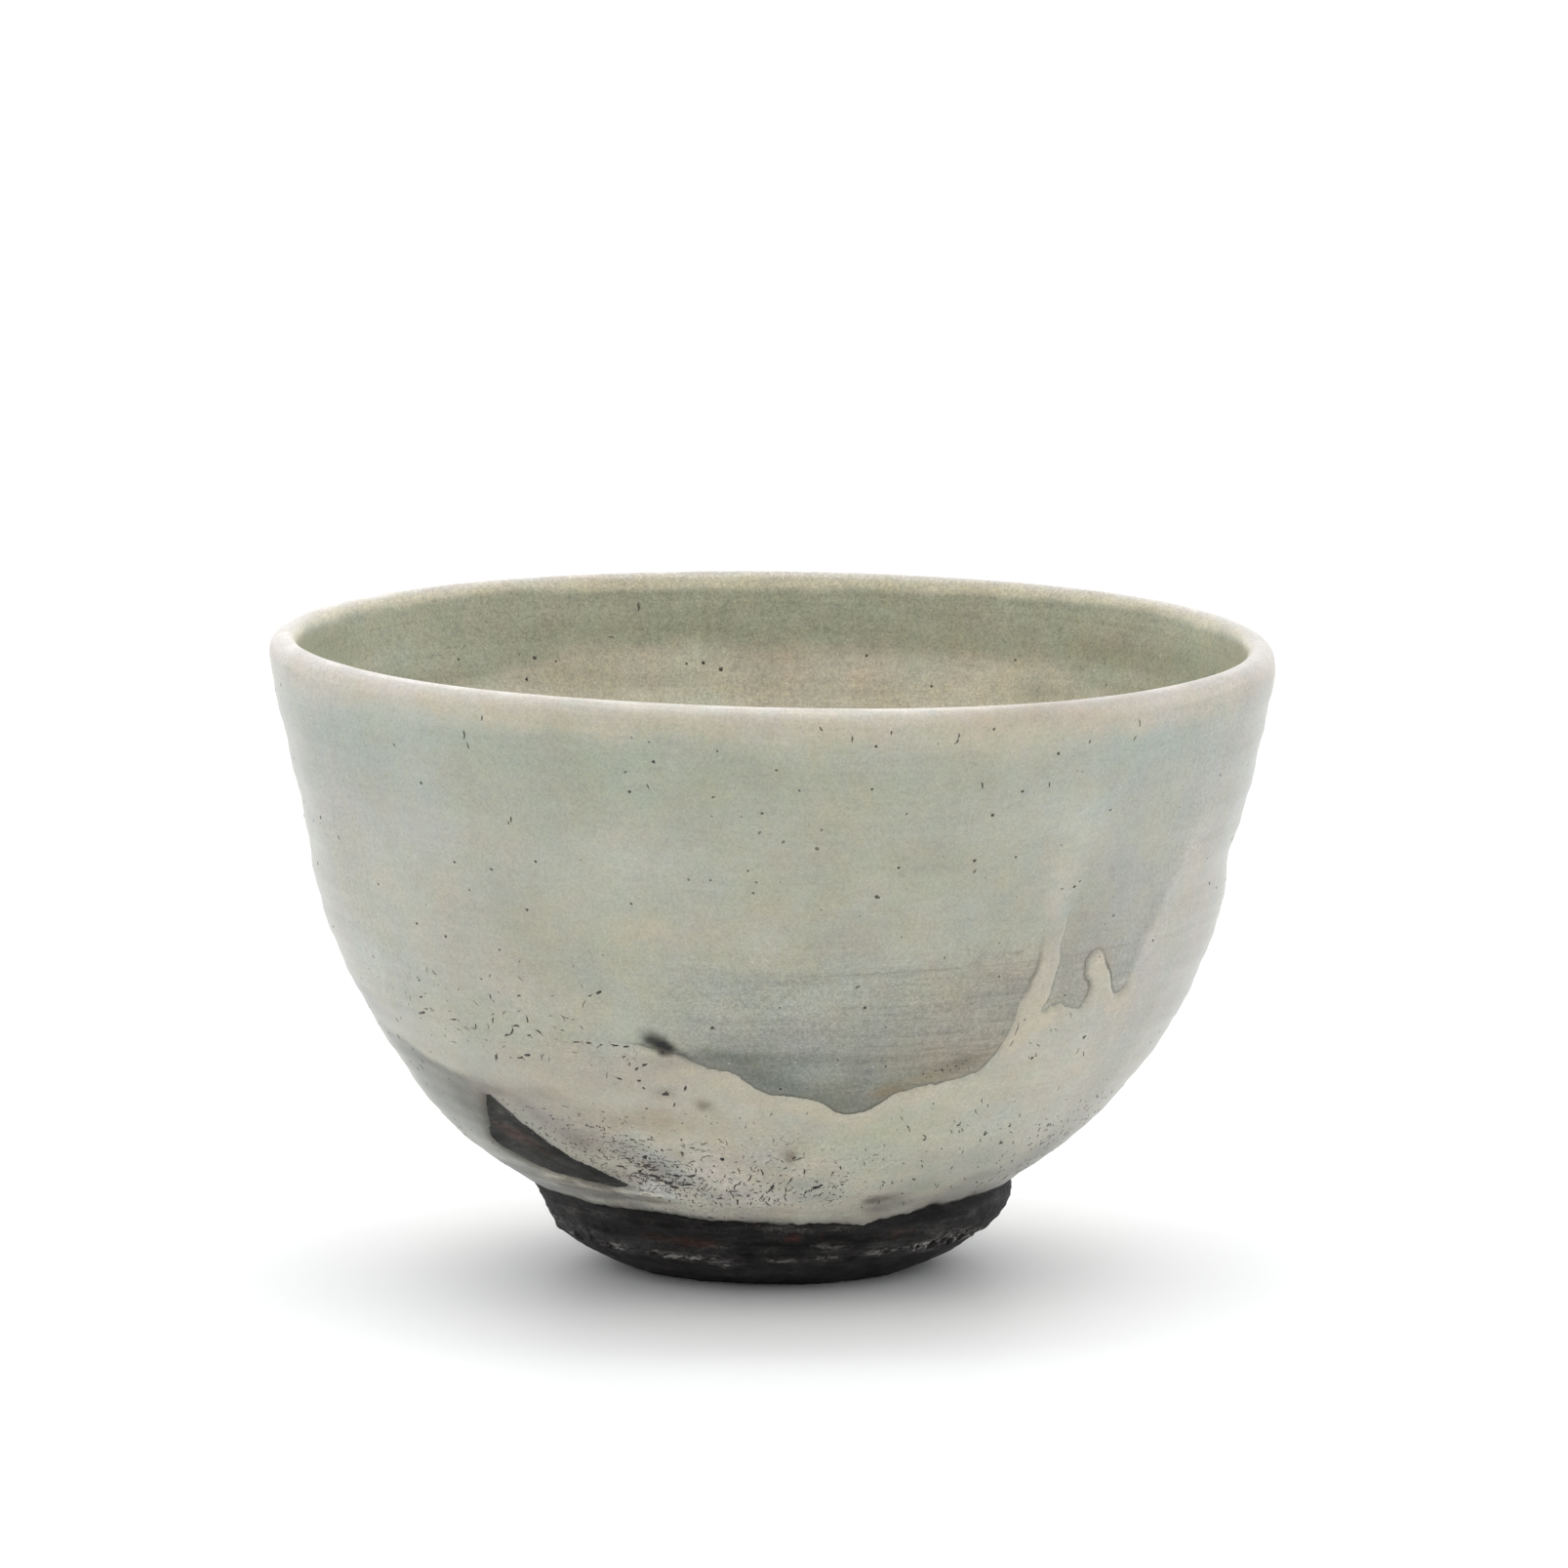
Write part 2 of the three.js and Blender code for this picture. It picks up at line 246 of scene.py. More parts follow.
# ------------------------------------------------------------------ the cream pour
POUR = [
    (-60, 35.2), (-50, 34.9), (-40, 34.7), (-30, 34.5), (-24, 34.3), (-19.5, 34.1), (-16.5, 33.8),
    (-13.5, 33.3), (-11, 32.3), (-8, 31.25), (-5.5, 30.5), (-3.5, 29.4), (-1, 28.5), (1.5, 28.05),
    (3.5, 27.65), (5.5, 27.3), (7.5, 26.45), (9.2, 25.7), (11.2, 25.4), (13.5, 25.7), (15, 26.35),
    (16.3, 27.2), (18, 28.0), (20.5, 28.55), (23, 28.8), (26, 29.35), (28, 29.65), (30, 30.5),
    (31.25, 31.7), (32.0, 33.2), (32.8, 35.4), (33.3, 37.5), (33.6, 39.6), (34.1, 41.3),
    (34.75, 42.6), (35.1, 44.6), (35.3, 46.3), (35.35, 48), (35.6, 50), (36.0, 52.5), (36.7, 54.6),
    (37.6, 55.2), (38.3, 54.2), (38.6, 52), (38.75, 50), (38.55, 47.9), (38.2, 45.8), (38.0, 44.1),
    (38.35, 43.3), (38.15, 41.7), (37.9, 40), (37.5, 38.3), (37.1, 37.1), (37.8, 36.7),
    (38.75, 37.3), (40.25, 37.6), (41.5, 37.2), (43, 36.7), (44.2, 36.7), (44.85, 37.7),
    (44.75, 38.75), (44.25, 40), (43.4, 40.8), (43.1, 41.9), (43.3, 42.9), (44, 43.5),
    (44.75, 43.7), (45.75, 43.25), (46.75, 42.3), (47.75, 41.25), (48.25, 40.2), (49, 39.2),
    (49.75, 38.3), (50.5, 37.9), (51.5, 37.8), (52.15, 38.3), (52.4, 39.4), (52.5, 40.8),
    (52.5, 42.5), (53, 44.6), (53.75, 45.8), (54.25, 47.9), (55.6, 50), (57.4, 51.6), (60, 53.2),
    (64, 55), (69, 56), (75, 55.5), (82, 50.5), (88, 44.5), (93, 40.8), (98, 38.6), (103, 38),
    (107, 39), (109.5, 42), (111.5, 47), (113, 50.5), (114.6, 51.2), (116, 49), (116.6, 44),
    (117.4, 39), (119, 35.2), (123, 32.2), (129, 30.6), (136, 29.6), (143, 28.4), (149, 27.2),
    (154, 27.6), (158, 30.2), (163, 32.8), (170, 34.2), (178, 34.6), (186, 33.6), (192, 31.4),
    (197, 29.8), (202, 30.6), (206, 33.4), (208.4, 38.5), (209.6, 44), (211.2, 46.2), (213, 44.6),
    (213.6, 39.5), (214.6, 34.6), (218, 31.2), (224, 29.4), (231, 30.2), (239, 33.6), (248, 36.4),
    (258, 37.6), (268, 37.8), (280, 36.8), (291, 35.8), (300, 35.2),
]
# Lower edge of the coats over the foot.
HEM = [
    (-180, 9.7), (-165, 9.3), (-150, 9.2), (-135, 9.9), (-120, 10.2), (-105, 9.8), (-90, 10.2),
    (-68, 10.3), (-53, 10.2), (-44, 9.9), (-37, 9.8), (-29, 9.85), (-22, 9.7), (-14, 9.45),
    (-6, 9.3), (2, 9.15), (10, 9.0), (16, 8.85), (20, 8.5), (22.3, 8.25), (24.5, 8.75), (27, 9.2),
    (36, 9.7), (46, 10.05), (55, 10.25), (64, 10.5), (74, 10.4), (86, 10.2), (100, 9.6), (118, 9.2),
    (128, 8.6), (133, 8.1), (138, 8.7), (150, 9.5), (165, 9.9), (180, 9.7),
]
# Window of bare clay. Its upper right edge is crisp, its lower left edge soft.
WINDOW = [
    (-49.6, 24.7), (-48.2, 24.1), (-46.6, 23.0), (-45.0, 21.9), (-43.1, 20.7), (-41.0, 19.4),
    (-39.0, 18.3), (-36.8, 17.3), (-34.2, 16.4), (-31.8, 15.6), (-28.6, 14.4), (-32.5, 13.8),
    (-36, 13.8), (-40, 14.1), (-44.5, 14.4), (-48.5, 15.0), (-52, 16.0), (-55.5, 17.1),
    (-57.0, 18.2), (-55.6, 19.5), (-53.5, 20.8), (-52, 22.0), (-50.8, 23.4),
]
# A second, smaller window at the back.
WINDOW2 = [
    (170.0, 21.5), (174.0, 22.6), (179.0, 22.2), (184.5, 20.4), (189.5, 18.2), (193.0, 16.4),
    (188.5, 16.2), (182.0, 17.0), (176.0, 18.2), (171.5, 19.6),
]


def densify(loop, closed, step=0.1):
    """Catmull-Rom through (angle, z), with an even step along the wall, in mm."""
    p = np.array(loop, float)
    n = len(p)
    out = []
    for i in range(n if closed else n - 1):
        q = [p[(i + k) % n] if closed else p[min(max(i + k, 0), n - 1)] for k in (-1, 0, 1, 2)]
        d = q[2] - q[1]
        length = math.hypot(math.radians(d[0]) * float(wall_r_at(q[1][1])), d[1])
        m = max(2, int(length / step))
        t = np.linspace(0, 1, m, endpoint=False)[:, None]
        out.append(
            0.5
            * (
                2 * q[1]
                + (q[2] - q[0]) * t
                + (2 * q[0] - 5 * q[1] + 4 * q[2] - q[3]) * t**2
                + (3 * q[1] - 3 * q[2] + q[3] - q[0]) * t**3
            )
        )
    if not closed:
        out.append(p[-1:])
    return np.concatenate(out)


def flat3(deg, z):
    """The nominal wall in mm, for distances."""
    r = wall_r_at(z)
    a = np.radians(deg)
    return np.stack([r * np.sin(a), -r * np.cos(a), z], -1)


def inside(poly, deg, z):
    """Even-odd test of points in a polygon of (angle, z)."""
    x, y = deg, z
    hit = np.zeros(len(x), bool)
    px, py = poly[:, 0], poly[:, 1]
    qx, qy = np.roll(px, -1), np.roll(py, -1)
    sel = (x >= px.min()) & (x <= px.max()) & (y >= py.min()) & (y <= py.max())
    xs, ys = x[sel], y[sel]
    h = np.zeros(len(xs), bool)
    for a, b, c, d in zip(px, py, qx, qy):
        if b == d:
            continue
        cross = (b > ys) != (d > ys)
        if not cross.any():
            continue
        h ^= cross & (xs < a + (ys - b) * (c - a) / (d - b))
    hit[sel] = h
    return hit


class Edge:
    """Signed distance in mm along the wall to a closed outline, positive inside."""

    def __init__(self, loop, closed, ragged=0.0, seed=5):
        d = densify(loop, closed)
        if ragged:
            P = flat3(d[:, 0], d[:, 1])
            d = d.copy()
            d[:, 1] += ragged * (fbm(P, 2.6, 3, seed) + 0.5 * fbm(P, 0.7, 2, seed + 1))
            d[:, 0] += ragged * np.degrees(fbm(P + 50, 2.6, 3, seed + 2) / wall_r_at(d[:, 1]))
        self.line = d
        P = flat3(d[:, 0], d[:, 1])
        self.tree = kdtree.KDTree(len(P))
        for i, v in enumerate(P):
            self.tree.insert(v, i)
        self.tree.balance()
        lo, hi = P[:, 2].min(), P[:, 2].max()
        self.span = (lo - 12, hi + 12)

    def distance(self, deg, z, near=None):
        P = flat3(deg, z)
        out = np.full(len(P), 12.0)
        todo = np.nonzero((z > self.span[0]) & (z < self.span[1]) if near is None else near)[0]
        find = self.tree.find
        for i in todo:
            out[i] = find(P[i])[2]
        return np.minimum(out, 12.0)


pour_edge = Edge(POUR, False, 0.25, 21)
hem_edge = Edge(HEM, False, 0.22, 31)
window_edge = Edge(WINDOW, True, 0.2, 41)
window2_edge = Edge(WINDOW2, True, 0.13, 51)


def wrap_line(line, deg):
    """Height of a single-valued edge at an angle."""
    d = line[:, 0]
    k = np.argsort(d)
    return np.interp((deg + 180) % 360 - 180, d[k], line[k, 1])


pour_poly = np.concatenate([pour_edge.line, [[300, -50], [-60, -50]]])


def fields(deg, z):
    """Signed distances at points of the wall: to the pour's upper edge, hem and the windows."""
    d360 = (deg + 60) % 360 - 60
    up = pour_edge.distance(deg, z)
    sd_up = np.where(inside(pour_poly, d360, z), up, -up)
    hem = hem_edge.distance(deg, z, near=z < 16)
    hem_z = wrap_line(hem_edge.line, deg)
    sd_hem = np.where(z > hem_z, hem, -hem)
    d180 = (deg + 180) % 360 - 180
    near = (z < 34) & (np.abs(d180 + 44) < 30)
    w1 = window_edge.distance(d180, z, near=near)
    sd_w1 = np.where(inside(window_edge.line, d180, z), w1, -w1)
    e360 = deg % 360
    near = (z < 32) & (np.abs(e360 - 181) < 26)
    w2 = window2_edge.distance(e360, z, near=near)
    sd_w2 = np.where(inside(window2_edge.line, e360, z), w2, -w2)
    return sd_up, sd_hem, np.maximum(sd_w1, sd_w2), sd_w1


def pour_strength(deg, z):
    """1 where the pour stands proud with a clear edge, 0 where it melts into the glaze."""
    d = (deg + 180) % 360 - 180
    s = smooth(-27, -17, d) * (1 - smooth(96, 110, np.abs(d)) * 0) + 0.0
    back = smooth(88, 100, d % 360) * (1 - smooth(236, 262, d % 360))
    front = smooth(-24, -15, d) * (1 - smooth(60, 78, d))
    s = np.maximum(front, back)
    s = s * np.where(np.abs(d) < 62, 1 - smooth(42.5, 51, z), 1 - smooth(46, 56, z))
    s = s * (1 - 0.85 * smooth(50.2, 52.2, d) * (1 - smooth(76, 84, d)) * smooth(37.8, 40.5, z))
    return np.clip(s, 0, 1)


SLIP = 0.30  # thickness of the pour above the glaze
CLAY = -0.22  # level of the bare clay below the glaze


def slip_level(deg, z, P, F=None):
    """Height of the pour's surface above the nominal wall, mm. Far below it where there is none."""
    sd_up, sd_hem, sd_w, sd_w1 = fields(deg, z) if F is None else F
    s = pour_strength(deg, z)
    t = np.clip(sd_up / 0.75, 0, 1)
    rise = np.sqrt(np.clip(1 - (1 - t) ** 2, 0, 1))
    bead = 0.10 * np.exp(-(((sd_up - 0.95) / 0.8) ** 2))
    body = (SLIP - 0.06 * smooth(1.5, 6, sd_up)) * rise + bead * rise
    thick = s * body + (1 - s) * 0.035 * smooth(0, 3, sd_up)
    thick *= 0.85 + 0.25 * fbm(P, 7, 2, 61)
    h = np.where(sd_up > 0, thick, np.maximum(sd_up * (0.35 + 0.5 * s), -0.5))
    # rounded hem over the foot
    t = np.clip(sd_hem / (1.5 - 0.6 * smooth(-14, -30, turn(deg, 0)) * smooth(-96, -80, turn(deg, 0))), 0, 1)
    h = np.where(sd_hem > 0, (h + 0.55) * np.sqrt(1 - (1 - t) ** 2) - 0.55, -0.55 + 0.3 * np.maximum(sd_hem, -1))
    # windows of bare clay
    soft = np.where(sd_w1 > -6, np.where(turn(deg, -47) < 6, 1.5, 0.75), 0.8)
    w = np.clip(-sd_w / soft, 0, 1)
    hw = (h - (CLAY - 0.25)) * np.sqrt(1 - (1 - w) ** 2) + (CLAY - 0.25)
    h = np.where(sd_w > -soft, np.where(sd_w > 0, CLAY - 0.25 - 0.2 * np.minimum(sd_w, 1), hw), h)
    return h


# ------------------------------------------------------------------ mesh making
def finish_mesh(name, verts, faces, colour=None, floats=None):
    me = bpy.data.meshes.new(name)
    me.from_pydata(verts.tolist(), [], faces)
    me.validate()
    me.polygons.foreach_set("use_smooth", np.ones(len(me.polygons), bool))
    if colour is not None:
        a = me.attributes.new("tint", "FLOAT_COLOR", "POINT")
        c = np.ones((len(verts), 4), np.float32)
        c[:, :3] = colour
        a.data.foreach_set("color", c.ravel())
    for key, val in (floats or {}).items():
        a = me.attributes.new(key, "FLOAT", "POINT")
        a.data.foreach_set("value", np.asarray(val, np.float32))
    me.update()
    ob = bpy.data.objects.new(name, me)
    bpy.context.scene.collection.objects.link(ob)
    return ob


def shell(name, top, bottom, blocks, k, colour, floats, cap=False):
    """A closed skin: fine on top, coarse underneath, over the blocks that are kept.
    top and bottom are (rows, columns, 3); the columns run round the bowl."""
    nr, nc = top.shape[:2]
    br, bc = blocks.shape
    B = blocks.copy()
    for _ in range(4):  # no two blocks meet at a corner only
        R = np.roll(B, -1, 1)
        a = B[:-1] & R[1:] & ~R[:-1] & ~B[1:]
        b = R[:-1] & B[1:] & ~B[:-1] & ~R[1:]
        if not (a.any() or b.any()):
            break
        B[1:][a] = True
        B[:-1][b] = True
    cell = np.repeat(np.repeat(B, k, 0), k, 1)
    r, c = np.nonzero(cell)
    c1 = (c + 1) % nc
    quads = np.stack([r * nc + c, r * nc + c1, (r + 1) * nc + c1, (r + 1) * nc + c], 1)
    N = nr * nc
    faces = quads.tolist()
    for i, j in zip(*np.nonzero(B)):
        r0, r1, c0, c1 = i * k, (i + 1) * k, j * k, (j + 1) * k
        sides = [
            ([(r0, c0 + t) for t in range(k + 1)], i > 0 and B[i - 1, j], False),
            ([(r0 + t, c1) for t in range(k + 1)], B[i, (j + 1) % bc], False),
            ([(r1, c1 - t) for t in range(k + 1)], i < br - 1 and B[i + 1, j], cap and i == br - 1),
            ([(r1 - t, c0) for t in range(k + 1)], B[i, (j - 1) % bc], False),
        ]
        ring = []
        for pts, joined, capped in sides:
            ids = [a * nc + (b % nc) for a, b in pts]
            if joined:
                ring.append(ids[0])
                continue
            ring.extend(ids[:-1])
            if capped:
                continue
            for a, b in zip(ids[:-1], ids[1:]):
                faces.append([b, a, N + a, N + b])
        faces.append([N + v for v in reversed(ring)])
    verts = np.concatenate([top.reshape(-1, 3), bottom.reshape(-1, 3)])
    colour = np.concatenate([colour.reshape(-1, 3)] * 2)
    floats = {key: np.concatenate([v.ravel()] * 2) for key, v in floats.items()}
    if cap:
        centre_top = top[-1].mean(0)
        centre_bot = bottom[-1].mean(0)
        verts = np.concatenate([verts, [centre_top, centre_bot]])
        colour = np.concatenate([colour, [colour[(nr - 1) * nc]] * 2])
        floats = {key: np.concatenate([v, [v[(nr - 1) * nc]] * 2]) for key, v in floats.items()}
        last = (nr - 1) * nc
        for b in range(nc):
            p, q = last + b, last + (b + 1) % nc
            faces.append([p, q, 2 * N])
            faces.append([N + q, N + p, 2 * N + 1])
    used = np.zeros(len(verts), bool)
    for f in faces:
        for v in f:
            used[v] = True
    new = np.cumsum(used) - 1
    faces = [[int(new[v]) for v in f] for f in faces]
    return finish_mesh(
        name, verts[used], faces, colour[used], {key: v[used] for key, v in floats.items()}
    )


def revolved(name, P, colour, floats, loop):
    """A closed body from rows of points round the axis; loop joins the last row to the first,
    otherwise both ends are closed on the axis."""
    nr, nc = P.shape[:2]
    rows = nr if loop else nr - 1
    r, c = np.meshgrid(np.arange(rows), np.arange(nc), indexing="ij")
    r, c = r.ravel(), c.ravel()
    r1, c1 = (r + 1) % nr, (c + 1) % nc
    faces = np.stack([r * nc + c, r * nc + c1, r1 * nc + c1, r1 * nc + c], 1).tolist()
    verts = P.reshape(-1, 3)
    colour = colour.reshape(-1, 3)
    floats = {key: v.ravel() for key, v in floats.items()}
    if not loop:
        N = nr * nc
        verts = np.concatenate([verts, [P[0].mean(0), P[-1].mean(0)]])
        colour = np.concatenate([colour, [colour[0], colour[-1]]])
        floats = {key: np.concatenate([v, [v[0], v[-1]]]) for key, v in floats.items()}
        for b in range(nc):
            p, q = b, (b + 1) % nc
            faces.append([q, p, N])
            faces.append([(nr - 1) * nc + p, (nr - 1) * nc + q, N + 1])
    return finish_mesh(name, verts, faces, colour, floats)


def grid(U, DEG):
    u, deg = np.meshgrid(U, DEG, indexing="ij")
    return u, deg


def columns(parts, k):
    """Angles from (start, end, step) stretches, in a number that k divides."""
    out = []
    for a, b, s in parts:
        n = max(k, int(round((b - a) / s / k)) * k)
        out.append(np.linspace(a, b, n, endpoint=False))
    return np.concatenate(out)


def rows(parts, k):
    out = []
    for a, b, s in parts:
        n = max(k, int(round((b - a) / s / k)) * k)
        out.append(np.linspace(a, b, n, endpoint=False))
    return np.concatenate(out + [[parts[-1][1]]])


# ------------------------------------------------------------------ colours
# Surfaces are painted with the tone they should show under the studio light, then turned into
# their own colour with the light that reaches each height.
LIGHT_OUT = np.array([
    (0, 0.25), (2, 0.28), (4, 0.47), (7, 0.65), (10, 0.67), (11, 0.66), (12.5, 0.66), (14, 0.69),
    (16, 0.75), (18, 0.80), (20, 0.84), (23, 0.895), (26, 0.92), (29, 0.955), (32, 0.97),
    (38, 0.995), (46, 1.02), (68, 1.03), (72, 1.03), (74, 1.05), (75.5, 1.10),
])
GLOSS = 0.036


def tone(t):
    """Linear tone from (brightness, red minus green, green minus blue) in 0-255 steps."""
    L, a, b = t
    G = L - 0.3 * a + 0.11 * b
    return lin((G + a, G, G - b))


def own(t, light=0.95):
    """Own colour of a surface that shows tone t."""
    return np.clip((tone(t) - GLOSS) / light, 0.002, 0.9)


def as_own(col, light, gloss=GLOSS):
    return np.clip((col - gloss) / np.asarray(light)[:, None], 0.002, 0.9)


def outside_light(z):
    return np.interp(z, LIGHT_OUT[:, 0], LIGHT_OUT[:, 1])


def _mix(col, t, k):
    k = np.clip(k, 0, 1)[:, None]
    c = tone(t) if isinstance(t, tuple) else t
    return col * (1 - k) + c * k


def dab(col, deg, z, at, size, t, w, hard=0.0, tilt=0.0):
    """Lays one soft patch of tone on the wall. at and size are (degrees, mm)."""
    dx = turn(deg, at[0]) / size[0]
    dz = (z - at[1] - tilt * turn(deg, at[0])) / size[1]
    d = np.sqrt(dx * dx + dz * dz)
    k = (1 - smooth(hard, 1.0, d)) * w if hard else np.exp(-1.4 * d * d) * w
    return _mix(col, t, k)


def wander(P, size, seed, amount):
    """Offsets that make the edge of a patch wander."""
    return amount * fbm(P, size, 3, seed), amount * fbm(P, size, 3, seed + 7)


def side_on(col, deg, z):
    """The sides take more sky, so painted shade deepens their colour there; away from the front the glaze is cooler."""
    d = np.abs((deg + 180) % 360 - 180)
    right = (deg + 180) % 360 - 180 > 0
    deep = np.where(right, 0.17 + 0.08 * (1 - smooth(36, 52, z)), 0.12 + 0.05 * (1 - smooth(40, 50, z)))
    k = smooth(48, 74, d) * (1 - smooth(104, 126, d)) * deep
    col = col * (1 - k)[:, None]
    cool = 0.045 * smooth(18, 60, d) * (0.25 + 0.75 * smooth(26, 40, z)) + 0.03 * (1 - smooth(11, 17, z)) * (1 - smooth(24, 44, d))
    return col * np.stack([1 - 0 * cool, 1 - 0 * cool, 1 + cool], -1)


def smear(col, deg, z, P):
    """The dark iron smear at the left end of the pour's edge."""
    a, b = wander(P, 1.1, 74, 0.24)
    d, y = deg + 0.9 * a, z + 0.7 * b
    col = dab(col, d, y, (-16.7, 35.1), (3.0, 2.0), (132, -1, 9), 0.7, 0.05, -0.05)
    col = dab(col, d, y, (-16.4, 34.95), (2.3, 1.55), (92, 0, 7), 0.7, 0.05, -0.06)
    col = dab(col, d, y, (-15.6, 34.5), (2.5, 1.6), (64, 1, 4), 0.8, 0.1, -0.06)
    col = dab(col, d, y, (-14.7, 33.95), (2.1, 1.3), (30, 1, 2), 1.0, 0.35, -0.12)
    col = dab(col, d, y, (-16.5, 35.05), (1.2, 0.8), (56, 0, 4), 0.7, 0.25, 0.0)
    col = dab(col, d, y, (-13.0, 33.4), (2.0, 0.65), (78, 0, 6), 0.75, 0.15, -0.35)
    return dab(col, d, y, (-11.6, 32.75), (2.6, 0.62), (112, -2, 8), 0.75, 0.2, -0.42)


def glaze_colour(deg, z, P):
    """Thin grey-green glaze of the outside."""
    col = np.repeat(tone((171, -1, 15))[None, :], len(deg), 0)
    n1, n2, n3 = fbm(P, 16, 3, 71), fbm(P, 6, 3, 72), fbm(P, 9, 3, 70)
    a, b = wander(P, 10, 75, 2.2)
    d_, z_ = deg + a, z + 0.35 * b
    for at, size, t, w in [
        ((-58, 67), (20, 5.5), (166, -8, 12), 0.9), ((-43, 69.5), (12, 2.6), (170, -6, 13), 0.7),
        ((-22, 68), (16, 4.5), (166, -5, 16), 0.9), ((-12, 65), (12, 3.5), (166, -4, 17), 0.6),
        ((6, 67.5), (14, 3.5), (168, -2, 17), 0.8), ((0, 71.3), (7, 1.5), (179, 0, 17), 0.6),
        ((29, 71.3), (14, 1.6), (180, 1, 17), 0.8), ((32, 67.5), (12, 3.0), (169, -2, 15), 0.6),
        ((51, 68.7), (13, 3.6), (167, -8, 12), 0.9), ((70, 66), (18, 6), (172, -2, 10), 0.6),
        ((-80, 62), (20, 9), (168, -1, 10), 0.7), ((88, 58), (22, 10), (168, -1, 10), 0.6),
        ((-45, 58), (13, 7), (176, -2, 12), 0.8), ((-33, 63), (8, 3), (170, -4, 16), 0.6),
        ((-15, 57), (9, 4.5), (179, -1, 14), 0.9), ((2, 58), (9, 4), (171, -1, 16), 0.6),
        ((18, 61), (12, 3), (169, -1, 16), 0.6), ((21, 56.5), (9, 2.6), (163, -1, 14), 0.8),
        ((36, 61.5), (9, 3.5), (178, -2, 12), 0.7), ((30, 51), (9, 4), (165, -2, 12), 0.8),
        ((48, 53), (6, 5), (163, -1, 9), 0.75),
        ((-31, 50.5), (7, 5), (168, -1, 14), 0.8), ((-44, 48), (8, 5), (176, 1, 14), 0.7),
        ((-24, 43), (6, 5), (163, -2, 14), 0.85), ((-11, 49), (11, 2.8), (175, 3, 15), 0.8),
        ((2, 50), (5, 2.4), (174, 3, 16), 0.6), ((-6, 44.5), (8, 2.2), (172, 4, 15), 0.8),
        ((9, 46.5), (7, 3), (162, 2, 14), 0.8), ((1, 41.5), (5, 2), (165, 4, 12), 0.7),
        ((-34, 40.5), (6, 3), (175, 4, 14), 0.8), ((-42, 43), (7, 3), (172, 3, 14), 0.6),
        ((-27, 37), (6, 2.5), (174, 1, 15), 0.7), ((16, 42), (6, 3), (166, 0, 11), 0.7),
        ((28, 45), (7, 2.5), (163, -1, 11), 0.7),
        # sides and back
        ((120, 67), (24, 5), (167, -7, 13), 0.8), ((160, 62), (22, 6), (176, 0, 15), 0.7),
        ((195, 69), (24, 4), (167, -6, 14), 0.8), ((225, 60), (20, 6), (178, 1, 14), 0.7),
        ((250, 66), (20, 5), (168, -4, 15), 0.7), ((135, 52), (18, 6), (166, -1, 12), 0.7),
        ((175, 51), (16, 5), (175, 3, 15), 0.7), ((205, 48), (14, 4), (163, -1, 13), 0.7),
        ((240, 47), (18, 5), (173, 3, 14), 0.7), ((270, 45), (18, 6), (170, 0, 12), 0.6),
        ((100, 47), (12, 5), (164, -1, 11), 0.7),
    ]:
        col = dab(col, d_, z_, at, size, t, w)
    d = (deg + 180) % 360 - 180
    dp = deg % 360
    # front: the glaze darkens downwards into the bay of the pour, with a soft step near z 33.5
    bay = smooth(-20, -8, d) * (1 - smooth(34, 37, d))
    dark = np.interp(z + 0.5 * n3, [26, 28, 31, 33, 36, 38, 40, 43, 46], [131, 137, 145, 148, 157, 160, 162, 164, 167])
    warm = smooth(12, 26, d + 2 * n2)
    a_, b_ = -2.0 + 5.5 * warm, 9.0 + 3.5 * warm + 3.0 * smooth(35, 42, z)
    G = dark - 0.3 * a_ + 0.11 * b_
    target = lin(np.stack([G + a_, G, G - b_], -1))
    col = _mix(col, target, bay * (1 - smooth(42, 47, z)) * 0.95)
    step = (1 - smooth(33.1, 34.0, z + 0.22 * n2 + 0.015 * d)) * bay * (1 - 0.95 * smooth(2, 25, d))
    col = _mix(col, (128, -4, 8), step * 0.72)
    # brown and grey wheel streaks in the bay
    sz = fbm(P, (22, 22, 1.1), 3, 78)
    sz2 = fbm(P, (30, 30, 0.7), 3, 79)
    low = bay * (1 - smooth(38, 46, z))
    col = col * (1 + (0.10 * sz + 0.06 * sz2) * low)[:, None]
    brown = smooth(0.12, 0.55, sz + 0.5 * sz2) * smooth(4, 14, d) * low
    col = _mix(col, (138, 5, 14), brown * 0.28)
    col = dab(col, d_, z_, (28, 38.5), (6.0, 3.8), (147, 1, 10), 0.75)
    col = dab(col, deg, z, (31.5, 41), (3.0, 2.6), (146, 4, 11), 0.6)
    col = dab(col, deg, z, (27, 31.2), (5.5, 1.9), (140, 4, 16), 0.85)
    col = dab(col, deg + 0.5 * n2, z, (16.2, 28.4), (4.8, 1.7), (134, 7, 16), 0.95, 0.1, 0.18)
    col = dab(col, deg + n2, z, (15.6, 28.1), (3.0, 1.0), (124, 10, 18), 0.75, 0.1, 0.15)
    col = dab(col, deg, z, (22, 29.9), (5, 1.3), (138, 8, 17), 0.85, 0.1, 0.10)
    col = dab(col, deg + 0.6 * n2, z, (26.5, 31.4), (5.0, 1.6), (122, 4, 14), 0.8, 0.05, 0.13)
    seam_z = np.interp(d, [-8, 4, 12, 20, 26, 33], [42.2, 42.4, 42.7, 43.1, 43.9, 45.0]) + 0.08 * n2
    seam = np.exp(-(((z - seam_z) / 0.13) ** 2)) * smooth(-10, -2, d) * (1 - smooth(32, 36, d))
    col = _mix(col, (130, 0, 9), seam * np.clip(0.42 + 0.35 * sz, 0.15, 0.65))
    col = dab(col, deg, z, (-6, 33.0), (5, 1.1), (116, -4, 9), 0.75, 0.0, -0.14)
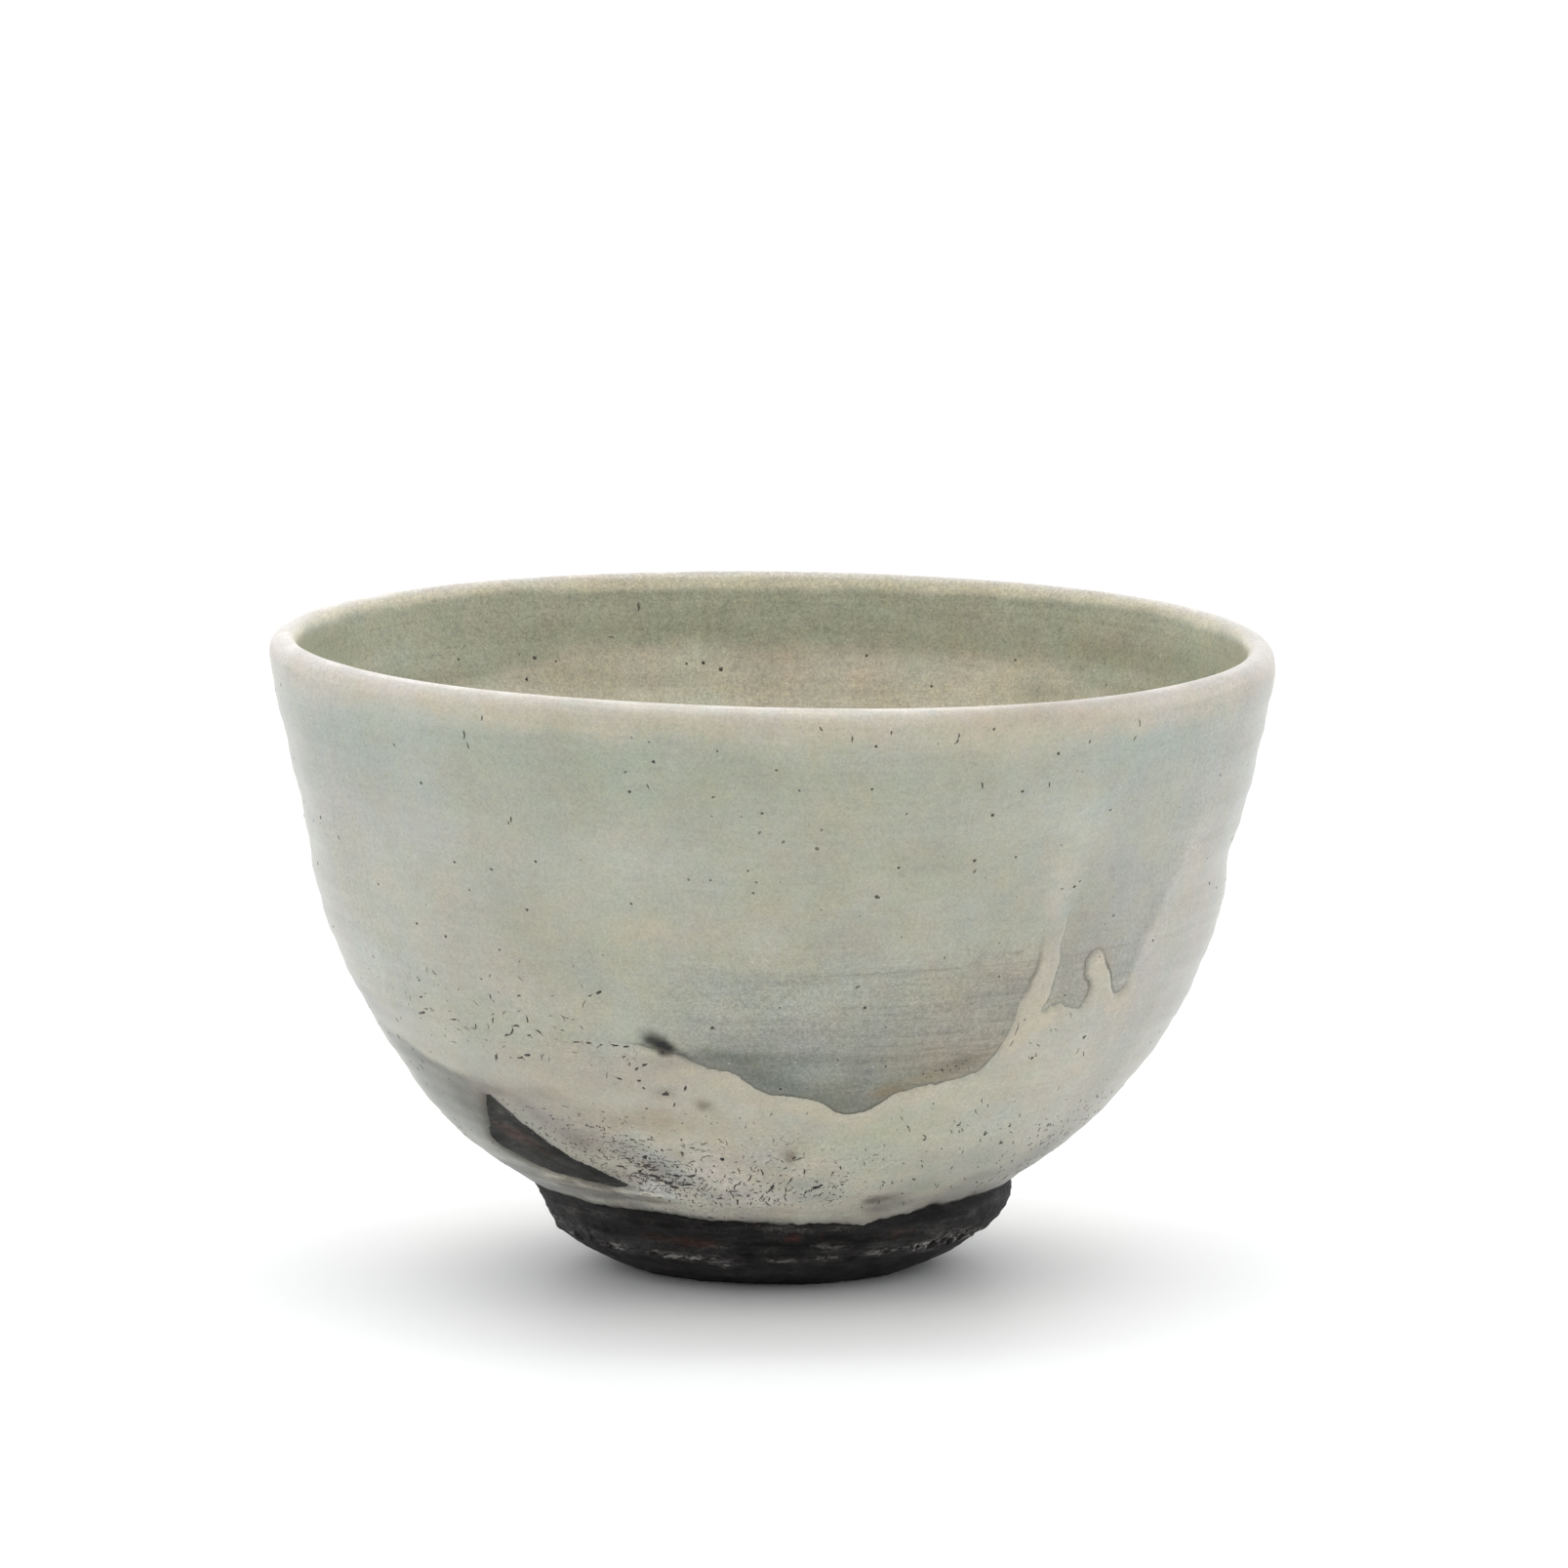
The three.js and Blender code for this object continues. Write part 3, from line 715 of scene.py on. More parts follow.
    col = dab(col, deg, z, (0.5, 29.6), (5, 1.1), (118, -5, 8), 0.7, 0.0, -0.22)
    col = dab(col, deg, z, (6.5, 30.8), (5, 1.8), (158, -3, 9), 0.75)
    col = dab(col, deg, z, (6, 36.5), (5.5, 3), (168, 0, 10), 0.5)
    col = dab(col, deg, z, (15.5, 31.0), (4, 1.5), (152, -1, 10), 0.55)
    col = dab(col, deg, z, (9.6, 26.9), (4, 0.9), (122, -3, 10), 0.7)
    # between the fingers of the pour
    gap = smooth(36.5, 39.5, d - 0.22 * np.maximum(z - 44, 0)) * (1 - smooth(55, 61, d)) * (1 - smooth(42, 58, z))
    col = _mix(col, (157, 1, 11), gap * 0.9)
    col = dab(col, deg, z, (39.6, 43), (2.2, 4.5), (155, 4, 13), 0.7)
    col = dab(col, deg, z, (42, 38.6), (3.2, 1.7), (150, 0, 13), 0.7)
    col = dab(col, deg, z, (50.5, 41), (2.4, 3), (151, 0, 11), 0.6)
    # the left finger runs on upwards as a pale breath, the right edge of the gap is soft
    col = dab(col, deg + 0.8 * n2, z, (36.4, 50.0), (2.1, 3.6), (184, 2, 14), 0.8)
    col = dab(col, deg + 0.8 * n2, z, (37.6, 54.0), (2.3, 3.6), (182, 1, 14), 0.75)
    col = dab(col, deg + 0.8 * n2, z, (39.2, 58.5), (2.7, 3.6), (180, -1, 13), 0.65)
    bound = np.interp(z, [38, 40, 44, 48, 52, 56], [51.4, 52.4, 54.2, 56.6, 59.4, 62.0])
    pale = smooth(-0.9, 0.9, d + 0.3 * n2 - bound) * (1 - smooth(4, 15, d - bound)) * smooth(37, 39, z) * (1 - smooth(53, 60, z))
    col = _mix(col, (184, 3, 13), pale * 0.65)
    col = _mix(col, (150, 1, 10), (1 - smooth(-2.6, 0.0, np.abs(d - bound + 1.6) - 2.6)) * smooth(38, 40, z) * (1 - smooth(44, 52, z)) * 0.4)
    # the same behind
    bay = smooth(92, 104, dp) * (1 - smooth(232, 250, dp))
    dark = np.interp(z + 0.8 * n3, [26, 29, 32, 36, 40, 44], [132, 138, 146, 154, 162, 167])
    G = dark + 1.5
    target = lin(np.stack([G - 1 + 4 * smooth(-0.3, 0.5, n1), G, G - 11], -1))
    col = _mix(col, target, bay * (1 - smooth(42, 48, z)) * 0.9)
    step = (1 - smooth(32.2, 33.3, z + 0.3 * n2 - 0.012 * (dp - 170))) * bay
    col = _mix(col, (132, -3, 8), step * 0.6)
    col = dab(col, deg, z, (152, 28.8), (7, 1.4), (138, 7, 16), 0.8)
    col = dab(col, deg, z, (221, 30.6), (6, 1.4), (138, 6, 15), 0.7)
    # warm band under the lip
    band = smooth(70.6, 73.2, z + 0.5 * n1 + 0.5 * n2)
    col = _mix(col, (184, 6, 18), band * (0.9 - 0.35 * smooth(38, 60, np.abs(d))))
    col = _mix(col, (191, 7, 15), smooth(73.2, 74.6, z + 0.2 * n2) * 0.9)
    # painted highlight: the crest is painted almost white
    ragged = 0.14 * n2 + 0.12 * fbm(P, 3, 2, 80)
    crest = smooth(74.5, 75.25, z + ragged)
    L = np.interp(d, [-180, -90, -60, -30, 0, 18, 34, 60, 90, 180], [200, 204, 197, 197, 199, 194, 184, 186, 198, 200])
    G = L - 0.3 * 4.5 + 0.11 * 11
    col = _mix(col, lin(np.stack([G + 4.5, G, G - 11], -1)), crest * 0.92)
    col = dab(col, deg, z, (31, 74.6), (9, 1.3), (168, 10, 16), 0.6)
    col = dab(col, deg, z, (53, 72.6), (11, 1.3), (181, 4, 13), 0.55)
    col = dab(col, deg, z, (-45, 72.0), (9, 1.1), (176, -3, 14), 0.6)
    # a thinner, brighter, broken line of painted highlight along the top of the crest
    thin = smooth(75.36, 75.6, z + 0.6 * ragged) * np.clip(0.55 + 1.3 * fbm(P, 4.5, 3, 83), 0, 1)
    col = _mix(col, (216, 4, 9), thin * (0.9 - 0.6 * smooth(16, 30, d)))
    # soft clouds
    col = col * (1 + 0.035 * n1 + 0.03 * n2 + 0.02 * n3)[:, None]
    hue = fbm(P, 8, 3, 73)[:, None]
    return side_on(col * (1 + 0.024 * hue * np.array([0.6, -0.4, -1.1])[None, :]), deg, z)


def slip_colour(deg, z, P, F):
    """Cream pour of the lower wall."""
    sd_up, sd_hem, sd_w, sd_w1 = F
    s = pour_strength(deg, z)
    base = glaze_colour(deg, z, P)
    cream = np.repeat(tone((175, 2, 14))[None, :], len(deg), 0)
    n1, n2, n3 = fbm(P, 13, 3, 81), fbm(P, 5, 3, 82), fbm(P, 2.2, 3, 84)
    a, b = wander(P, 8, 85, 1.8)
    d_, z_ = deg + a, z + 0.4 * b
    for at, size, t, w in [
        ((44, 30), (13, 5), (179, 3, 14), 0.7), ((29, 27), (11, 2.6), (182, 3, 17), 0.8),
        ((58, 32), (9, 7), (172, -1, 12), 0.7), ((75, 34), (12, 9), (172, 0, 9), 0.7),
        ((40, 22.5), (13, 4), (176, -2, 12), 0.8), ((19, 22.5), (9, 3), (174, -1, 18), 0.8),
        ((14, 19), (7, 2.6), (169, -3, 15), 0.8), ((3, 21.5), (5, 2.4), (167, 4, 15), 0.8),
        ((-6, 25.5), (7, 2.6), (174, 4, 16), 0.8), ((-10, 29.5), (8, 1.8), (176, 4, 17), 0.8),
        ((-20, 24), (9, 1.6), (158, 7, 14), 0.9), ((-31, 24), (7, 1.8), (154, 6, 13), 0.9),
        ((-40, 26.2), (6, 1.6), (150, 5, 11), 0.8), ((-30, 28.5), (12, 2.4), (167, 4, 13), 0.8),
        ((-48, 30), (9, 2.5), (171, 2, 11), 0.7), ((-22, 30.5), (9, 2.5), (169, 3, 15), 0.8),
        ((-40, 32.5), (6, 2.4), (167, 0, 13), 0.7), ((-31, 20.8), (6, 2.0), (142, 7, 11), 0.85),
        ((-24, 19.5), (6, 2.2), (154, 1, 9), 0.85), ((-17, 17.4), (7, 2.4), (153, -1, 8), 0.9),
        ((-25, 16.2), (5, 1.6), (156, 4, 9), 0.8), ((-8, 19), (5, 2.0), (171, 4, 13), 0.85),
        ((0, 17.4), (5, 1.8), (163, 4, 13), 0.8), ((9, 18.2), (5, 1.4), (173, 2, 12), 0.8),
        ((7, 15.7), (7, 1.2), (155, 0, 8), 0.8), ((26, 17.5), (9, 2.2), (165, -1, 14), 0.8),
        ((42, 17.5), (10, 2.6), (163, 0, 12), 0.8), ((-22, 14.2), (7.5, 1.2), (186, 1, 10), 0.95),
        ((-8, 14.2), (7, 1.3), (155, 1, 8), 0.8), ((12, 13.6), (9, 1.3), (160, -1, 10), 0.8),
        ((33, 14.2), (7, 1.5), (153, 0, 13), 0.8), ((47, 14), (8, 1.6), (140, 1, 11), 0.8),
        ((60, 16), (10, 4), (138, -1, 8), 0.7), ((60, 24), (9, 5), (165, 0, 10), 0.6),
        # sides and back
        ((95, 26), (20, 7), (172, 0, 13), 0.7), ((125, 20), (16, 4), (165, 2, 14), 0.7),
        ((150, 24), (14, 3), (178, 3, 16), 0.7), ((175, 28), (16, 3), (178, 3, 16), 0.7),
        ((165, 17), (12, 3), (152, 2, 10), 0.8), ((200, 22), (14, 3.5), (160, 6, 13), 0.8),
        ((215, 17), (12, 3), (150, 0, 9), 0.8), ((235, 25), (16, 5), (174, 1, 14), 0.7),
        ((262, 22), (16, 7), (166, 1, 12), 0.7),
    ]:
        cream = dab(cream, d_, z_, at, size, t, w)
    # thick cream edge
    rim = np.exp(-(((sd_up - 1.2) / 1.3) ** 2)) * s
    cream = _mix(cream, (182, 8, 19), rim * 0.65 * (0.8 + 0.5 * n2))
    cream = dab(cream, deg, z, (35.5, 45), (2.6, 9), (176, 6, 15), 0.6)
    mix = np.clip(s + (1 - s) * smooth(1, 9, sd_up), 0, 1)
    col = base * (1 - mix)[:, None] + cream * mix[:, None]
    d = (deg + 180) % 360 - 180
    dp = deg % 360
    # translucent grey-green wash left of the clay window, with a slanting upper edge
    top = 27.9 - 0.17 * (d + 58) + 0.5 * n2
    wash = smooth(-86, -70, d) * (1 - smooth(-53, -47, d)) * smooth(12.5, 17, z) * (1 - smooth(-1.3, 0.9, z - top))
    cloud = fbm(P, (5, 5, 2.6), 4, 93)
    col = _mix(col, (117, -2, 9), wash * (0.93 + 0.12 * cloud))
    col = dab(col, deg, z, (-56.5, 22.6), (5.0, 3.4), (98, -1, 8), 0.85)
    col = dab(col, deg, z, (-65, 17.3), (7, 2.4), (158, -1, 9), 0.6)
    col = dab(col, deg, z, (-58, 17.0), (3.4, 2.0), (132, 0, 8), 0.6)
    brim = np.exp(-(((z - top + 0.35 + 0.4 * cloud) / 0.55) ** 2)) * smooth(-80, -68, d) * (1 - smooth(-54, -50, d))
    col = _mix(col, (100, -1, 7), brim * (0.55 + 0.4 * cloud))
    col = col * (1 + 0.13 * cloud * wash)[:, None]
    col = dab(col, deg, z, (-60.5, 27.6), (6.5, 0.9), (112, -1, 6), 0.55, 0.0, -0.17)
    col = dab(col, deg, z, (-53, 26.3), (3.6, 0.9), (108, 0, 7), 0.6, 0.0, -0.17)
    col = dab(col, deg, z, (-46.5, 26.0), (3.2, 0.7), (130, 7, 12), 0.6, 0.0, -0.10)
    col = dab(col, deg, z, (-77, 33.5), (9, 2.4), (138, -1, 7), 0.8)
    col = dab(col, d_, z_, (-20.5, 17.6), (4, 1.1), (118, 3, 7), 0.6)
    # cream above the window, darker towards its edge
    zline = np.interp(d, [-60, -56, -50, -44, -38, -32, -27], [18.5, 18.7, 20.5, 18.6, 16.3, 14.9, 14.0])
    over_w = smooth(-0.5, 1.5, z - zline) * smooth(-56, -50, d) * (1 - smooth(-27, -19, d))
    darker_by_window = np.exp(-((np.maximum(-sd_w, 0) / 3.6) ** 1.5)) * over_w
    col = _mix(col, (124, 6, 9), darker_by_window * (0.78 + 0.3 * n2))
    col = dab(col, d_, z_, (-41, 23.4), (4.0, 2.0), (128, 6, 8), 0.75, 0.0, -0.5)
    col = dab(col, d_, z_, (-37, 22.6), (5.0, 2.2), (142, 6, 8), 0.65, 0.0, -0.4)
    col = dab(col, d_, z_, (-47.5, 25.6), (4.0, 1.0), (122, 7, 12), 0.8)
    # band between the window and the foot
    col = dab(col, deg, z, (-64, 13.2), (12, 2.6), (112, -1, 8), 0.9)
    col = dab(col, deg, z, (-69, 12.9), (10, 2.0), (88, -1, 6), 0.7)
    col = dab(col, d_, z_, (-35, 20.6), (4.0, 1.7), (118, 6, 10), 0.65)
    col = dab(col, d_, z_, (-15, 32.2), (2.6, 1.2), (144, 0, 9), 0.5)
    col = dab(col, d_, z_, (-5, 26.2), (3.2, 1.6), (190, 4, 16), 0.6)
    col = dab(col, d_, z_, (-24, 22.9), (6.0, 1.2), (148, 8, 15), 0.7)
    col = dab(col, d_, z_, (-35, 25.8), (6.0, 1.3), (150, 5, 12), 0.7)
    col = dab(col, deg, z, (-34, 14.0), (4.0, 0.7), (142, 5, 8), 0.7)
    col = dab(col, deg, z, (-47, 12.7), (11, 1.3), (124, 1, 11), 0.9)
    col = dab(col, deg, z, (-36, 12.6), (6, 0.9), (124, 4, 11), 0.85)
    # painted shade: the belly is darkened low down towards the foot, in stretches round the bowl
    low = np.interp(z, [11, 12.5, 13.5, 15.5], [0.20, 0.10, 0.08, 0]) * smooth(-22, -36, d) * smooth(-100, -80, d)
    low = low + np.interp(z, [10, 12, 14, 17, 20, 24], [0.10, 0.16, 0.16, 0.13, 0.09, 0]) * smooth(46, 60, d) * (1 - smooth(100, 120, d))
    low = low + 0.22 * (1 - smooth(11.5, 14.0, z)) * smooth(-66, -76, d) * smooth(-110, -96, d)
    low = low + 0.16 * (1 - smooth(11.2, 13.2, z)) * smooth(-16, -8, d) * (1 - smooth(18, 26, d))
    low = low - 0.14 * (1 - smooth(14.5, 16.5, z)) * bell((d - 36) / 9)
    low = low + np.interp(z, [10.5, 11.6, 12.6, 14, 17, 20], [0.30, 0.36, 0.22, 0.18, 0.08, 0]) * smooth(17, 27, d) * (1 - smooth(70, 90, d))
    col = col * (1 - low)[:, None]
    mott = smooth(-20, -34, d) * (1 - smooth(14, 17, z)) * smooth(-110, -90, d)
    col = _mix(col, (88, 3, 13), np.clip(0.1 + 1.3 * fbm(P, (3.2, 3.2, 0.9), 4, 94), 0, 1) * 0.8 * mott)
    col = _mix(col, (152, 1, 4), np.clip(1.3 * fbm(P, (3.6, 3.6, 0.8), 4, 98), 0, 1) * 0.5 * mott)
    col = dab(col, d_, z_, (-25, 30.4), (14, 3.2), (168, 7, 11), 0.65)
    col = dab(col, deg, z, (-15, 32.2), (2.8, 1.1), (150, 2, 10), 0.5)
    col = dab(col, deg, z, (-77, 33.6), (9, 2.4), (124, -1, 7), 0.6)
    col = dab(col, deg, z, (-66, 14.2), (6, 1.6), (138, 0, 7), 0.6)
    col = dab(col, deg, z, (-73, 11.8), (8, 1.6), (92, 0, 3), 0.75)
    col = dab(col, deg, z, (72, 14.2), (9, 2.4), (146, -1, 6), 0.5)
    col = dab(col, deg, z, (25, 11.1), (4, 1.0), (106, 4, 6), 0.7)
    col = dab(col, deg, z, (-32.5, 14.0), (4.5, 0.8), (128, 4, 6), 0.5)
    thread = fbm(P, (14, 14, 0.55), 3, 99)
    belt = smooth(-14, -26, d) * smooth(-108, -90, d) * (1 - smooth(13.6, 15.4, z - 0.05 * np.maximum(-d - 40, 0)))
    col = col * (1 - 0.42 * smooth(0.0, 0.45, thread) * belt)[:, None]
    col = col * (1 + 0.16 * smooth(0.05, 0.5, -thread) * belt)[:, None]
    col = dab(col, d_, z_, (-40, 13.9), (7.0, 0.55), (104, 13, 9), 0.6, 0.0, -0.16)
    # painted shade low on the left side above the foot, and painted highlight along the rounded band under the window
    crease_shade = np.interp(z, [10.4, 12, 13, 14, 15], [0.32, 0.30, 0.23, 0.10, 0]) * smooth(-60, -70, d) * smooth(-112, -98, d)
    lit = np.interp(z, [10.9, 11.2, 12, 13, 14, 14.8], [0, -0.1, 0.26, 0.38, 0.34, 0]) * smooth(-58, -48, d) * (1 - smooth(-33, -26, d))
    col = col * (1 - crease_shade + lit)[:, None]
    # the outline of the left finger is inked by the glaze that gathered there
    ink = np.exp(-((np.maximum(sd_up, 0) / 0.22) ** 2)) * bell((d - 33.6) / 3.2) * bell((z - 42.5) / 5.0)
    col = _mix(col, (108, 1, 9), np.clip(1.3 * ink, 0, 1) * 0.65)
    ink = np.exp(-((np.maximum(sd_up, 0) / 0.20) ** 2)) * bell((d - 45.5) / 5.5) * bell((z - 41.0) / 5.0)
    col = _mix(col, (112, 0, 9), np.clip(1.3 * ink, 0, 1) * 0.5)
    # dark halo round the windows
    halo = np.exp(-((np.maximum(-sd_w, 0) / 0.55) ** 2))
    col = _mix(col, (92, 2, 6), halo * 0.6)
    under = smooth(0.4, -0.8, z - np.interp(d, [-58, -52, -44, -36, -29], [19.5, 18.5, 16.6, 15.2, 14.1]))
    wide = np.exp(-((np.maximum(-sd_w, 0) / (1.5 + 0.5 * cloud)) ** 2)) * np.maximum(smooth(-44, -54, d), 0.8 * under * smooth(-31, -36, d))
    col = _mix(col, (86, 1, 8), wide * 0.75)
    col = dab(col, deg, z, (-58.5, 17.6), (3.0, 3.0), (122, 0, 6), 0.45)
    # blots
    a, b = wander(P, 2.0, 86, 0.45)
    e, y = deg + 1.2 * a, z + 0.7 * b
    col = dab(col, e, y, (-10.4, 26.8), (2.2, 1.3), (136, 3, 13), 0.8, 0.05, -0.05)
    col = dab(col, e, y, (-10.2, 26.9), (1.0, 0.5), (118, 5, 13), 0.5)
    col = dab(col, e, y, (-15.9, 28.1), (1.7, 0.8), (132, 2, 12), 0.6)
    col = dab(col, e, y, (3.0, 20.0), (1.9, 1.25), (138, 8, 14), 0.85, 0.05)
    col = dab(col, e, y, (3.3, 19.5), (0.9, 0.6), (112, 10, 14), 0.7)
    col = dab(col, e, y, (25.4, 12.6), (6.0, 1.25), (112, 4, 9), 0.8, 0.05)
    col = dab(col, e, y, (23.0, 12.4), (2.6, 0.7), (84, 4, 6), 0.7)
    col = dab(col, e, y, (31, 11.9), (5.0, 0.6), (110, 0, 7), 0.6)
    # painted shade darkens the glaze just above the foot, where the glaze also thins as the pour runs out over it
    side = np.clip(smooth(24, 44, d) + smooth(-18, -34, d), 0, 1)
    sh = np.maximum(sd_hem, 0) + 0.5 * n2 + 0.25 * n3
    reach = 1.5 + 1.6 * side
    fade = np.clip(1 - sh / (reach * 2.2), 0, 1) ** 1.3
    col = _mix(col, (112, 0, 4), fade * 0.85)
    hem = np.exp(-((np.maximum(sh, 0) / (0.45 + 0.45 * side)) ** 2))
    col = _mix(col, (66, 1, 3), hem * (0.55 + 0.4 * side))
    streak = np.exp(-(((sd_hem - 1.5 - 0.5 * n2) / 0.35) ** 2)) * smooth(-0.1, 0.5, fbm(P, (6, 6, 1.2), 3, 87))
    col = _mix(col, (104, 1, 5), streak * 0.6)
    # cloudy bloom over the dense cracks
    bloom = smooth(-36, -24, d) * (1 - smooth(-2, 12, d)) * smooth(12, 14, z) * (1 - smooth(19, 22.5, z))
    fog = fbm(P, (3.2, 3.2, 1.5), 4, 96)
    col = col * (1 + (0.05 * fog + 0.05 * n3 + 0.05 * n2) * bloom)[:, None]
    col = col * (1 + (np.clip(0.5 + fog, 0, 1) * bloom)[:, None] * np.array([0.005, -0.008, 0.045])[None, :])
    col = col * (1 + 0.03 * n1 + 0.03 * n2 + 0.02 * n3)[:, None]
    hue = fbm(P, 6, 3, 88)[:, None]
    col = col * (1 + 0.02 * hue * np.array([1.0, -0.5, -1.1])[None, :])
    return col * mix[:, None] * side_on(np.ones_like(col), deg, z) + col * (1 - mix)[:, None]


def clay_colour(deg, z, P):
    col = np.repeat(tone((58, 0, 2))[None, :], len(deg), 0)
    n = fbm(P, 3.5, 3, 91)
    m = fbm(P, (4, 4, 1.1), 4, 97)
    d_, z_ = deg + 1.8 * n, z + 0.5 * n
    col = dab(col, deg, z, (-48.6, 22.0), (3.4, 2.0), (84, 0, 4), 0.9)
    col = dab(col, d_, z_, (-49.0, 19.4), (6.4, 1.9), (82, 17, 5), 0.95, 0.15, -0.14)
    col = dab(col, d_, z_, (-43.0, 17.4), (4.0, 0.9), (56, 9, 3), 0.7, 0.1, -0.2)
    col = dab(col, deg, z, (-53.5, 18.6), (2.5, 1.6), (44, 0, 1), 0.7)
    col = dab(col, deg, z, (-40, 18.2), (9, 0.7), (40, 0, 1), 0.75, 0.0, -0.48)
    col = dab(col, deg, z, (-50, 16.8), (5.5, 2.2), (84, 1, 3), 0.5)
    col = _mix(col, (38, 0, 2), np.clip(1.4 * m, 0, 1) * 0.5)
    col = _mix(col, (30, 1, 1), 1 - smooth(10.6, 12.2, z))
    col = dab(col, deg + n, z, (181, 19.3), (6, 1.2), (80, 13, 6), 0.8, 0.2, -0.15)
    return np.maximum(col * (1 + 0.22 * n + 0.18 * fbm(P, 1.2, 2, 92))[:, None], 0.014)


def inside_colour(deg, u, z, r, P):
    """Green glaze by the lip, warm grey below, pooled green in the well."""
    n1, n2, n3 = fbm(P, 14, 3, 101), fbm(P, 5, 3, 102), fbm(P, 26, 2, 103)
    L = np.interp(z, [13, 30, 50, 58, 61, 64, 66.5], [150, 160, 166, 169, 168, 161, 152])
    a = np.full_like(L, 3.5) + 3.0 * n2
    b = np.full_like(L, 15.5) + 1.5 * n1
    G = L - 0.3 * a + 0.11 * b
    col = lin(np.stack([G + a, G, G - b], -1))
    a, b = wander(P, 7, 106, 2.0)
    d_, z_ = deg + a, z + 0.5 * b
    for at, size, t, w in [
        ((192, 65.6), (5, 2.6), (164, -1, 15), 0.9), ((190, 60), (6, 3), (176, -1, 14), 0.8),
        ((206, 63), (7, 3), (155, 5, 16), 0.6), ((179, 65), (5, 2.4), (152, 10, 16), 0.85),
        ((178, 60.5), (5, 2.4), (164, 7, 17), 0.7), ((168, 62.5), (6, 3.5), (166, 6, 16), 0.8),
        ((156, 61), (5, 2.5), (173, 2, 15), 0.8), ((143, 64), (7, 3.5), (152, 4, 17), 0.75),
        ((222, 60), (10, 4), (164, 0, 15), 0.7), ((60, 50), (26, 10), (170, 4, 15), 0.6),
        ((0, 56), (24, 9), (165, 2, 15), 0.6), ((-60, 48), (22, 10), (161, 1, 15), 0.6),
        ((120, 42), (24, 8), (163, 2, 15), 0.6), ((190, 44), (20, 8), (170, 5, 15), 0.6),
    ]:
        col = dab(col, d_, z_, at, size, t, w)
    edge = 67.6 + 0.7 * n1 + 0.5 * n2
    edge = edge - 4.5 * np.exp(-((turn(deg, 238) / 22) ** 2)) - 5.0 * np.exp(-((turn(deg, 120) / 22) ** 2))
    edge = edge - 4.0 * np.exp(-((turn(deg, 20) / 40) ** 2))
    green = smooth(-1.4, 1.2, z - edge)
    g = np.repeat(tone((142, -2, 17))[None, :], len(deg), 0)
    g = dab(g, d_, z_, (234, 68), (14, 5), (147, -4, 14), 0.85)
    g = dab(g, d_, z_, (132, 69), (14, 4), (133, 2, 18), 0.85)
    g = dab(g, d_, z_, (182, 71.5), (14, 1.5), (147, -1, 17), 0.7)
    g = dab(g, d_, z_, (210, 71.5), (8, 1.3), (149, -1, 16), 0.6)
    col = _mix(col, g, green * 0.95)
    tan = smooth(73.2, 74.5, z + 0.3 * n2 + 0.2 * n1 - 0.6 * smooth(12, 46, np.abs(turn(deg, 180))))
    col = _mix(col, (178, 5, 20), tan)
    pool = smooth(27, 9, r + 3 * n3)
    col = _mix(col, (142, -6, 14), pool * 0.85)
    ring = np.exp(-(((r - 27.5 - 1.5 * n3) / 2.2) ** 2)) * (z < 30)
    col = _mix(col, (176, 5, 17), ring * 0.5)
    swirl = np.sin(2 * np.pi * (u + deg / 360 * 7.0) / 7.0 + 1.5 * n3)
    col = col * (1 + 0.015 * swirl + 0.03 * n1 + 0.03 * n2)[:, None]
    hue = fbm(P, 6, 3, 107)[:, None]
    col = col * (1 + 0.02 * hue * np.array([1.0, -0.6, -0.9])[None, :])
    light = np.interp(z, [13, 25, 60, 72.5, 74, 75.5], [0.74, 0.72, 0.71, 0.71, 0.80, 0.95])
    return as_own(col, light, 0.022), np.clip(np.maximum(green * (1 - 0.5 * tan), pool), 0, 1)


# ------------------------------------------------------------------ camera and studio
cam_data = bpy.data.cameras.new("camera")
cam_data.sensor_fit = "HORIZONTAL"
cam_data.sensor_width = 36.0
cam_data.lens = 310.437
cam_data.clip_start, cam_data.clip_end = 0.05, 50.0
cam = bpy.data.objects.new("camera", cam_data)
bpy.context.scene.collection.objects.link(cam)
cam.location = (0.00125377, -1.6, 0.301972)
cam.rotation_euler = (math.pi / 2 - 0.151549, 0.0, 0.0)
bpy.context.scene.camera = cam

world = bpy.data.worlds.new("studio")
bpy.context.scene.world = world
world.use_nodes = True
wt = world.node_tree
back = wt.nodes["Background"]
back.inputs["Color"].default_value = (1.0, 1.0, 1.0, 1.0)
way = wt.nodes.new("ShaderNodeTexCoord")  # direction of the sky, dimmer towards the front
sep = wt.nodes.new("ShaderNodeSeparateXYZ")
wt.links.new(way.outputs["Generated"], sep.inputs[0])
dim = wt.nodes.new("ShaderNodeMapRange")
dim.interpolation_type = "SMOOTHSTEP"
wt.links.new(sep.outputs["Y"], dim.inputs["Value"])
dim.inputs["From Min"].default_value = -1.0
dim.inputs["From Max"].default_value = 0.3
dim.inputs["To Min"].default_value = 0.75
dim.inputs["To Max"].default_value = 1.5
wt.links.new(dim.outputs["Result"], back.inputs["Strength"])


def area(name, where, at, size, power, colour=(1, 1, 1)):
    data = bpy.data.lights.new(name, "AREA")
    data.shape = "RECTANGLE"
    data.size, data.size_y = size
    data.energy = power
    data.color = colour
    ob = bpy.data.objects.new(name, data)
    bpy.context.scene.collection.objects.link(ob)
    ob.location = where
    ob.rotation_mode = "QUATERNION"
    ob.rotation_quaternion = (Vector(at) - Vector(where)).to_track_quat("-Z", "Y")
    return ob


area("softbox_top", (0.0, 0.0, 0.75), (0, 0, 0.03), (0.6, 0.12), 0.9)

bpy.context.scene.view_settings.view_transform = "Standard"
bpy.context.scene.view_settings.look = "None"
bpy.context.scene.view_settings.exposure = 0.0
bpy.context.scene.view_settings.gamma = 1.0


